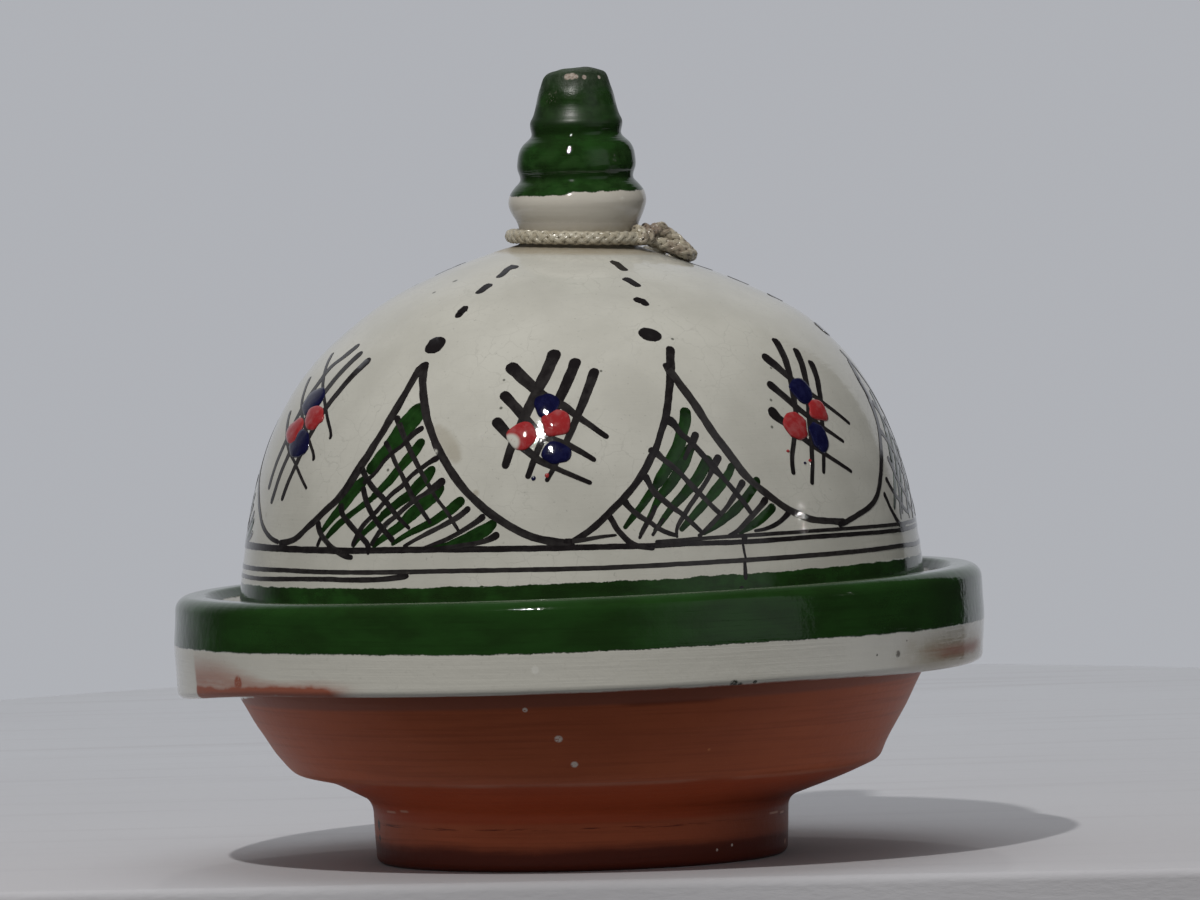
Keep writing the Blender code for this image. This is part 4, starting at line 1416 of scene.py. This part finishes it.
def ribbon(stroke, lift, blunt=1.0):
    """A stroke of paint on the lid: thin, with a round start, a drawn-out end and slightly uneven edges."""
    places = [on_lid(azimuth, climb) for azimuth, climb, width in stroke]
    reach = [0.0]
    for start, end in zip(places, places[1:]):
        reach.append(reach[-1] + (end - start).length)
    length = reach[-1]
    seed = rng.uniform(0, 90)
    first, last = stroke[0].z, stroke[-1].z
    nearer = [share * first for share in (0, 0.06, 0.2, 0.42, 0.75)]
    farther = [length - share * last for share in (0.8, 0.45, 0.2, 0.06, 0)]
    body = max(1, round((farther[0] - nearer[-1]) / STROKE_STEP))
    between = [nearer[-1] + (farther[0] - nearer[-1]) * step / body for step in range(body + 1)]
    stops = nearer[:-1] + between + farther[1:]
    section = ((-1, -0.4), (-0.86, 1), (0.86, 1), (1, -0.4), (0.8, None), (-0.8, None), (-1, -0.4))
    stations = []
    low = 0
    for stop in stops:
        while low < len(stroke) - 2 and reach[low + 1] < stop:
            low += 1
        share = (stop - reach[low]) / max(1e-9, reach[low + 1] - reach[low])
        spot = stroke[low].lerp(stroke[low + 1], min(1.0, max(0.0, share)))
        along = (places[low + 1] - places[low]).normalized()
        side = along.cross(lid_normal(spot.x, spot.y)).normalized()
        from_start, from_end = stop / first, (length - stop) / (last * blunt)
        drawn = math.sqrt(max(0.0, 1 - (1 - min(1.0, 2 * from_start)) ** 2))
        drawn *= math.sqrt(max(0.0, 1 - (1 - min(1.0, 2 * from_end)) ** 2))
        stations.append((spot, side, drawn))

    def place(u, v):
        index = round(u * (len(stations) - 1))
        spot, side, drawn = stations[index]
        across, up = section[round(v * 6)]
        ragged = 1 + 0.16 * noise.noise(Vector((stops[index] * 420, across * 3, seed)))
        half = spot.z / 2 * drawn * ragged
        if drawn == 0.0:
            height = -PAINT_SINK / 2
        else:
            height = -PAINT_SINK if up is None else lift * up
        return on_lid(spot.x, spot.y, height) + side * across * half

    form = bent_sheet(len(stations) - 1, 6, place, length / MM)
    load = form.verts.layers.float.new("load")
    middle_load = rng.uniform(0.45, 0.75)
    for vert in form.verts:
        vert[load] = middle_load
    ends = (places[0], places[-1])
    for vert in form.verts:
        gap = min((vert.co - end).length for end in ends)
        vert[load] = middle_load + (1 - middle_load) * (1 - ease(0.3 * first, 1.5 * first + 0.4 * MM, gap))
    return form


def painted(name, strokes, lift, finish, blunt=1.0):
    """Strokes of one paint, at slightly different heights, so that one lies on the other where they cross."""
    forms = [ribbon(stroke, lift * (1 + 0.06 * (index % 7)), blunt) for index, stroke in enumerate(strokes)]
    piece = set_up(name, gather(forms), finish)
    piece.data.set_sharp_from_angle(angle=math.radians(24))
    return on_the_lid(piece)


def on_the_lid(piece):
    """Paint or enamel that belongs to the lid."""
    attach(piece, "lid")
    return piece


def bead(spot, wide, tall, height, tilt=0.0, fineness=3):
    """A drop of enamel on the lid."""
    form = bmesh.new()
    bmesh.ops.create_icosphere(form, subdivisions=fineness, radius=1)
    seed = rng.uniform(0, 50)
    radius = on_outline(spot.y)[0].x
    for vert in form.verts:
        x, y, z = vert.co
        uneven = 1 + 0.30 * noise.noise(Vector((x * 1.3, y * 1.3, seed)))
        a = (x * math.cos(tilt) * wide - y * math.sin(tilt) * tall) / 2 * uneven
        b = (x * math.sin(tilt) * wide + y * math.cos(tilt) * tall) / 2 * uneven
        if z > 0:
            rise = height * z**0.7 * (1 + 0.2 * noise.noise(Vector((x * 2, y * 2, seed + 9))))
        else:
            rise = z * PAINT_SINK
        vert.co = on_lid(spot.x + a / radius, spot.y + b, rise)
    return form


def beads(name, drops, height, finish, fineness=3):
    """Drops of enamel, each its spot, width and height on the lid."""
    forms = [bead(spot, wide, tall, height, rng.uniform(-0.2, 0.2), fineness) for spot, wide, tall in drops]
    return on_the_lid(set_up(name, gather(forms), finish))


def drops_seen(seen):
    """Drops that the photograph shows at these pixels, with their widths and heights in pixels."""
    drops = []
    for pixel, wide, tall in seen:
        spot = lid_spot(pixel)
        wide_there = wide * BEAD_FULLNESS * PIXEL / max(0.3, math.cos(spot.x))
        drops.append((spot, min(WIDEST_BEAD, wide_there), tall * BEAD_FULLNESS * PIXEL))
    return drops


def drops_carried(drops, source, target):
    """Drops painted again at another azimuth, in degrees, a little differently."""
    shift = math.radians(target - source)
    return [
        (Vector((spot.x + shift, spot.y + rng.uniform(-0.4, 0.4) * MM)), min(WIDEST_COPY, wide), tall)
        for spot, wide, tall in drops
    ]


def paint_finish(name, thick, thin, glaze_under, streaks, chip=None):
    """Brushed glaze paint, denser at the ends of each stroke, where the brush was set down and lifted."""
    finish = Finish(name)
    load = finish.node("ShaderNodeAttribute", {}, out="Fac", attribute_name="load")
    uv = finish.node("ShaderNodeUVMap", {}, out="UV", uv_map="UVMap")
    hairs = finish.node("ShaderNodeMapping", {"Vector": uv, "Scale": (0.16, 9.0, 1.0)})
    hairs = finish.node("ShaderNodeTexNoise", {"Vector": hairs, "Scale": 1.0, "Detail": 3.0}, out="Fac")
    cloud = finish.mottle(1.6, detail=3)
    density = load + (cloud - 0.5) * 0.7 + (hairs - 0.5) * streaks
    colour = finish.mix(finish.ease(0.25, 0.85, density), thin, thick)
    starved = finish.ease(0.34, 0.10, density)
    colour = finish.mix(starved * 0.55, colour, glaze_under)
    if chip:
        colour = finish.mix(finish.near(*chip) * finish.ease(0.35, 0.5, cloud), colour, CREAM_LIGHT)
    finish.set(
        Base_Color=colour,
        Roughness=0.035 + 0.03 * cloud,
        Normal=finish.bump(hairs * 0.5 + cloud, 0.03),
    )
    finish.set(IOR=1.5)
    return finish.material


def enamel_finish(name, full, pale, chip=None):
    """Thick glossy enamel, thinner and paler in places."""
    finish = Finish(name)
    cloud = finish.mottle(1.9, detail=4)
    grain = finish.mottle(0.5, detail=3)
    colour = finish.mix(finish.ease(0.42, 0.72, cloud) * 0.55, full, pale)
    colour = finish.mix(finish.ease(0.55, 0.75, grain) * 0.3, colour, pale)
    if chip:
        bare = finish.near(*chip, 0.25) * finish.ease(0.3, 0.4, finish.mottle(1.1, detail=2))
        colour = finish.mix(bare, colour, CREAM_LIGHT)
    finish.set(
        Base_Color=colour,
        Roughness=0.05 + 0.05 * grain,
        Normal=finish.bump(cloud + grain * 0.25, 0.05),
    )
    finish.set(IOR=1.52)
    return finish.material


LINE_CHIP, BEAD_CHIP = (434.5, 452.5), (511, 443)
BLACK_THICK, BLACK_THIN, STARVED_BLACK = (0.012, 0.010, 0.0105), (0.033, 0.030, 0.029), (0.13, 0.12, 0.10)
GREEN_THICK, GREEN_THINNED, STARVED_GREEN = (0.006, 0.019, 0.004), (0.013, 0.046, 0.009), (0.07, 0.12, 0.04)
BLACK = paint_finish(
    "black_brushwork", BLACK_THICK, BLACK_THIN, STARVED_BLACK, 0.6, (seen_on(LID_TREE, LINE_CHIP), 0.75)
)
GREEN = paint_finish("green_brushwork", GREEN_THICK, GREEN_THINNED, STARVED_GREEN, 0.9)
RED_FULL, RED_PALE = (0.30, 0.022, 0.024), (0.36, 0.11, 0.11)
BLUE_FULL, BLUE_PALE = (0.0045, 0.0045, 0.030), (0.014, 0.016, 0.060)
RED = enamel_finish("red_enamel", RED_FULL, RED_PALE, (seen_on(LID_TREE, BEAD_CHIP), 2.0))
BLUE = enamel_finish("blue_enamel", BLUE_FULL, BLUE_PALE)

left_sides = [brushed(stroke) for stroke in LEFT_LOBE_SIDES]
right_sides = [brushed(stroke) for stroke in RIGHT_LOBE_SIDES]
left_hatch = [brushed(stroke) for stroke in LEFT_DOWNSTROKES + LEFT_UPSTROKES]
right_hatch = [brushed(stroke) for stroke in RIGHT_DOWNSTROKES + RIGHT_UPSTROKES]
left_green = [brushed(stroke, 1.06) for stroke in LEFT_GREEN]
right_green = [brushed(stroke, 1.06) for stroke in RIGHT_GREEN]
crosses = [
    [brushed(stroke, fullness) for stroke in cross]
    for cross, fullness in ((CROSS_LEFT, 1.1), (CROSS_MIDDLE, 1.32), (CROSS_RIGHT, 1.2))
]
left_dashes = [brushed(stroke, 1.75) for stroke in LEFT_DASHES]
right_dashes = [brushed(stroke, 1.5) for stroke in RIGHT_DASHES]

far_side = [(FAR_LEFT_POINT, 57.8), (-94.5, 46.0), (-89.0, 35.0)]
far_side = [Vector((math.radians(azimuth), climb * MM, 5)) for azimuth, climb in far_side]
far_side += [Vector((*lid_spot(pixel), 5)) for pixel in LEFT_LOBE_FAR_SIDE]
outlines = left_sides + right_sides + [brushed(RIGHT_LOBE_FAR_SIDE), widened(far_side)]
hatching = left_hatch + right_hatch
bars = left_green + right_green
dashes = left_dashes + right_dashes

# The lobes that are hidden, or half hidden, are the seen ones painted again
outlines += carried_all(left_sides[:1], LEFT_POINT, FAR_LEFT_POINT, HIDDEN_STRETCH)
outlines += carried_all(right_sides[1:], RIGHT_POINT, FAR_RIGHT_POINT, 1.03)
hatching += carried_all(left_hatch, LEFT_POINT, FAR_LEFT_POINT, 0.98)
hatching += carried_all(right_hatch, RIGHT_POINT, FAR_RIGHT_POINT)
bars += carried_all(left_green, LEFT_POINT, FAR_LEFT_POINT, 0.98)
bars += carried_all(right_green, RIGHT_POINT, FAR_RIGHT_POINT)
for source, point, sides, hatch, green in (
    (RIGHT_POINT, HIDDEN_POINTS[0], right_sides, right_hatch, right_green),
    (LEFT_POINT, HIDDEN_POINTS[1], left_sides, left_hatch, left_green),
):
    outlines += carried_all(sides, source, point, HIDDEN_STRETCH)
    hatching += carried_all(hatch, source, point, HIDDEN_STRETCH)
    bars += carried_all(green, source, point, HIDDEN_STRETCH)
dots = [brushed(LEFT_DOT), brushed(RIGHT_DOT)]
for number, point in enumerate((FAR_LEFT_POINT, FAR_RIGHT_DASHES, *HIDDEN_POINTS)):
    source = (LEFT_POINT + 1.8, RIGHT_POINT - 0.6)[number % 2]
    rise = -FAR_RIGHT_DROP if point == FAR_RIGHT_DASHES else 0.0
    dashes += carried_all((left_dashes, right_dashes)[number % 2], source, point, 1.0, rise)
    dots.append(carried(dots[number % 2], source, point, 1.0, rise))

cross_strokes = [stroke for cross in crosses for stroke in cross]
blue_drops = drops_seen(BLUE_MIDDLE + BLUE_LEFT + BLUE_RIGHT)
red_drops = drops_seen(RED_MIDDLE + RED_LEFT + RED_RIGHT)
for cross, source, target, drops in (
    (2, 48, HIDDEN_CROSSES[0], slice(4, 6)),
    (1, -5.3, HIDDEN_CROSSES[1], slice(0, 2)),
    (2, 48, HIDDEN_CROSSES[2], slice(4, 6)),
):
    cross_strokes += carried_all(crosses[cross], source, target)
    blue_drops += drops_carried(blue_drops[drops], source, target)
    red_drops += drops_carried(red_drops[drops], source, target)

rings = [all_round(brushed(MAIN_LINE)), all_round(brushed(THIN_LINE, 1.1))]
second = brushed(SECOND_LINE)
onwards = [Vector((0.2 * step, 0.05 * MM * step, 0)) for step in range(1, 8)]
rings.append(second + [second[-1] + step for step in onwards])
low = brushed(LOW_STROKE)
before_low = [Vector((-0.2 * step, -0.1 * MM * step, 0)) for step in range(6, 0, -1)]
rings.append([low[0] + step for step in before_low] + low)
rings += [brushed(LOBE_TAIL)] + [brushed(stroke) for stroke in TICKS]

painted("lid_green_bars", bars, 0.035 * MM, GREEN)
painted("lid_hatching", hatching, 0.060 * MM, BLACK)
painted("lid_lobe_outlines", outlines, 0.070 * MM, BLACK)
painted("lid_ring_lines", rings, 0.065 * MM, BLACK, 2.0)
painted("lid_crosses", cross_strokes, 0.070 * MM, BLACK)
painted("lid_dashes", dashes, 0.070 * MM, BLACK)
painted("lid_oval_dots", dots, 0.12 * MM, BLACK)
beads("lid_blue_beads", blue_drops, 0.42 * MM, BLUE)
beads("lid_red_beads", red_drops, 0.55 * MM, RED)
beads("lid_blue_splashes", drops_seen(BLUE_SPLASHES), 0.2 * MM, BLUE, 2)
beads("lid_red_splashes", drops_seen(RED_SPLASHES), 0.2 * MM, RED, 2)

# The table, the room and the lamps

TABLE_RADIUS, TABLE_NARROW = 0.75, 0.5


def table():
    """A board under a pale cloth. Its front edge is close to the pot, and the cloth hangs down there."""
    form = bmesh.new()
    bmesh.ops.create_circle(form, cap_ends=True, segments=128, radius=TABLE_RADIUS)
    bmesh.ops.scale(form, verts=form.verts[:], vec=(TABLE_NARROW, 1, 1))
    left, right = floor_spot(TABLE_EDGE_LEFT), floor_spot(TABLE_EDGE_RIGHT)
    outward = (right - left).cross(Vector((0, 0, 1)))
    whole = form.verts[:] + form.edges[:] + form.faces[:]
    cut = bmesh.ops.bisect_plane(form, geom=whole, plane_co=left, plane_no=outward, clear_outer=True)
    front = [part for part in cut["geom_cut"] if isinstance(part, bmesh.types.BMEdge)]
    hanging = bmesh.ops.extrude_edge_only(form, edges=front)["geom"]
    hem = [part for part in hanging if isinstance(part, bmesh.types.BMVert)]
    bmesh.ops.translate(form, verts=hem, vec=(0, 0, -CLOTH_DROP))
    bmesh.ops.recalc_face_normals(form, faces=form.faces[:])
    bmesh.ops.bevel(form, geom=front, offset=2.2 * MM, segments=4, profile=0.5, affect="EDGES", material=-1)
    finish = Finish("table_cloth")
    weave = finish.mottle(1.2, stretch=(3, 1, 1), detail=3)
    cloud = finish.mottle(90, detail=3)
    # Painted light falloff: the cloth darker towards the front and paler farther back
    painted_falloff = finish.ease(-330, 620, finish.y)
    # Painted shade of the cloth's folds: soft darker streaks running across the table
    folds = finish.mottle(14, stretch=(12, 1, 1), detail=4)
    colour = finish.mix(painted_falloff, CLOTH_NEAR, CLOTH_FAR)
    fold_shade = finish.ease(0.5, 0.75, folds) * 0.2
    colour = finish.mix(cloud * 0.2 + weave * 0.25 + fold_shade, colour, CLOTH_GREY_AND_FOLD_SHADE)
    finish.set(Base_Color=colour, Roughness=0.9, Normal=finish.bump(weave, 0.15))
    finish.set(Specular_IOR_Level=0.15)
    piece = set_up("table", form, finish.material)


def floor_spot(pixel):
    """The place on the table that a pixel of the photograph shows."""
    direction = sight(pixel)
    return CAMERA_PLACE - direction * (CAMERA_PLACE.z / direction.z)


TABLE_EDGE_LEFT, TABLE_EDGE_RIGHT = (120, 890), (1200, 868)
CLOTH_DROP = 0.1
# The cloth's colour at the front and far back, the front darker as painted light falloff
# The third colour on the next line is a darker grey for the cloth's uneven tone and for the painted shade of
# its folds
CLOTH_NEAR, CLOTH_FAR, CLOTH_GREY_AND_FOLD_SHADE = (0.455, 0.448, 0.462), (0.585, 0.602, 0.636), (0.385, 0.375, 0.395)


def room():
    """Pale to the camera and in reflections, dimmer on the viewer's side, with most light from above."""
    world = bpy.data.worlds.new("room")
    bpy.context.scene.world = world
    world.use_nodes = True
    tree = world.node_tree
    tree.nodes.clear()

    def node(kind, **settings):
        made = tree.nodes.new(kind)
        for name, setting in settings.items():
            setattr(made, name, setting)
        return made

    def maths(operation, *values):
        made = node("ShaderNodeMath", operation=operation)
        for socket, value in zip(made.inputs, values):
            if isinstance(value, (int, float)):
                socket.default_value = value
            else:
                tree.links.new(value, socket)
        return made.outputs[0]

    def eased(value, low, high):
        made = node("ShaderNodeMapRange", interpolation_type="SMOOTHSTEP")
        made.inputs["From Min"].default_value = low
        made.inputs["From Max"].default_value = high
        tree.links.new(value, made.inputs["Value"])
        return made.outputs[0]

    out = node("ShaderNodeOutputWorld")
    rays = node("ShaderNodeLightPath")
    direction = node("ShaderNodeTexCoord")
    parts = node("ShaderNodeSeparateXYZ")
    tree.links.new(direction.outputs["Generated"], parts.inputs[0])
    rightwards, away, up = parts.outputs
    bearing = maths("ARCTAN2", rightwards, away)
    left = eased(bearing, -SHEET_LEFT_SOFT, -SHEET_LEFT)
    right = eased(bearing, SHEET_RIGHT_SOFT, SHEET_RIGHT)
    under_top = eased(up, SHEET_TOP_SOFT, SHEET_TOP)
    sheet = maths("MULTIPLY", maths("MULTIPLY", left, right), under_top)
    back = maths("MULTIPLY_ADD", sheet, 1 - ROOM_DARK, ROOM_DARK)
    panel = eased(bearing, PANEL_RIGHT_SOFT, PANEL_RIGHT)
    panel = maths("MULTIPLY", panel, eased(up, 0.85, 0.5))
    panel = maths("MULTIPLY", panel, eased(bearing, PANEL_LEFT_SOFT, PANEL_LEFT))
    panel = maths("MULTIPLY", panel, eased(up, -0.16, -0.10))
    back = maths("MULTIPLY_ADD", panel, PANEL_LEVEL, back)
    rising = eased(up, 0.0, 0.9)
    dimmer_right = eased(rightwards, -0.1, 0.9)
    above = maths("MULTIPLY_ADD", rising, ROOM_TOP - ROOM_SIDES, ROOM_SIDES)
    dimmer_left = eased(rightwards, -0.2, -0.9)
    above = maths("MULTIPLY", above, maths("MULTIPLY_ADD", dimmer_right, -ROOM_RIGHT_DIM, 1.0))
    above = maths("MULTIPLY", above, maths("MULTIPLY_ADD", dimmer_left, -ROOM_LEFT_DIM, 1.0))
    above = maths("MULTIPLY_ADD", eased(up, 0.86, 0.96), CEILING_LEVEL, above)
    above = maths("MULTIPLY", above, maths("MULTIPLY_ADD", eased(up, -0.3, 0.0), 0.5, 0.5))
    levels = {}
    for key, colour, source in (
        ("seen", BACKDROP, None),
        ("mirrored", BACKDROP, back),
        ("lighting", ROOM_LIGHT, above),
    ):
        background = node("ShaderNodeBackground")
        background.inputs["Color"].default_value = (*colour, 1)
        if source:
            tree.links.new(source, background.inputs["Strength"])
        levels[key] = background
    mirror = node("ShaderNodeMath", operation="MAXIMUM")
    tree.links.new(rays.outputs["Is Glossy Ray"], mirror.inputs[0])
    tree.links.new(rays.outputs["Is Transmission Ray"], mirror.inputs[1])
    first, second_mix = node("ShaderNodeMixShader"), node("ShaderNodeMixShader")
    tree.links.new(mirror.outputs[0], first.inputs[0])
    tree.links.new(levels["lighting"].outputs[0], first.inputs[1])
    tree.links.new(levels["mirrored"].outputs[0], first.inputs[2])
    tree.links.new(rays.outputs["Is Camera Ray"], second_mix.inputs[0])
    tree.links.new(first.outputs[0], second_mix.inputs[1])
    tree.links.new(levels["seen"].outputs[0], second_mix.inputs[2])
    tree.links.new(second_mix.outputs[0], out.inputs["Surface"])


BACKDROP = (0.43, 0.442, 0.472)
ROOM_LIGHT = (0.97, 0.98, 1.0)
ROOM_DARK = 0.035
ROOM_SIDES, ROOM_TOP, CEILING_LEVEL = 0.29, 0.46, 1.05
ROOM_RIGHT_DIM, ROOM_LEFT_DIM = 0.45, 0.30

# The pale sheet behind the pot, as its glaze mirrors it: how far it reaches to each side, and how high
SHEET_LEFT, SHEET_LEFT_SOFT = math.radians(18), math.radians(60)
SHEET_RIGHT, SHEET_RIGHT_SOFT = math.radians(34.5), math.radians(38.5)
SHEET_TOP, SHEET_TOP_SOFT = 0.45, 0.8

# A dim pale panel in front of the pot at the right, which the green glaze mirrors, by bearing from the back
PANEL_RIGHT, PANEL_RIGHT_SOFT = math.radians(116), math.radians(110)
PANEL_LEFT, PANEL_LEFT_SOFT = math.radians(135), math.radians(172)
PANEL_LEVEL = 0.6


LAMP_COLOUR = (1, 0.98, 0.95)
LAMP_DISTANCE = 1.9
LAMP_AIM = Vector((0, 0, 0.08))


def lamp(name, azimuth, elevation, size, level):
    """A round lamp that renders white paper facing it at this level."""
    data = bpy.data.lights.new(name, "AREA")
    data.shape = "ELLIPSE"
    data.size, data.size_y = size
    data.energy = level * math.pi**2 * LAMP_DISTANCE**2
    data.color = LAMP_COLOUR
    azimuth, elevation = math.radians(azimuth), math.radians(elevation)
    level_out = Vector((math.sin(azimuth), -math.cos(azimuth), 0))
    out = level_out * math.cos(elevation) + Vector((0, 0, math.sin(elevation)))
    piece = bpy.data.objects.new(name, data)
    place = LAMP_AIM + out * LAMP_DISTANCE
    piece.matrix_world = Matrix.LocRotScale(place, (-out).to_track_quat("-Z", "Y"), None)
    bpy.context.scene.collection.objects.link(piece)


table()
room()
lamp("key_lamp", -17.0, 43.5, (0.045, 0.05), 0.52)
lamp("side_lamp", 81, 13, (0.02, 0.02), 0.008)
lamp("back_lamp", 180, 48, (0.06, 0.06), 0.06)

bpy.context.scene.view_settings.view_transform = "Standard"
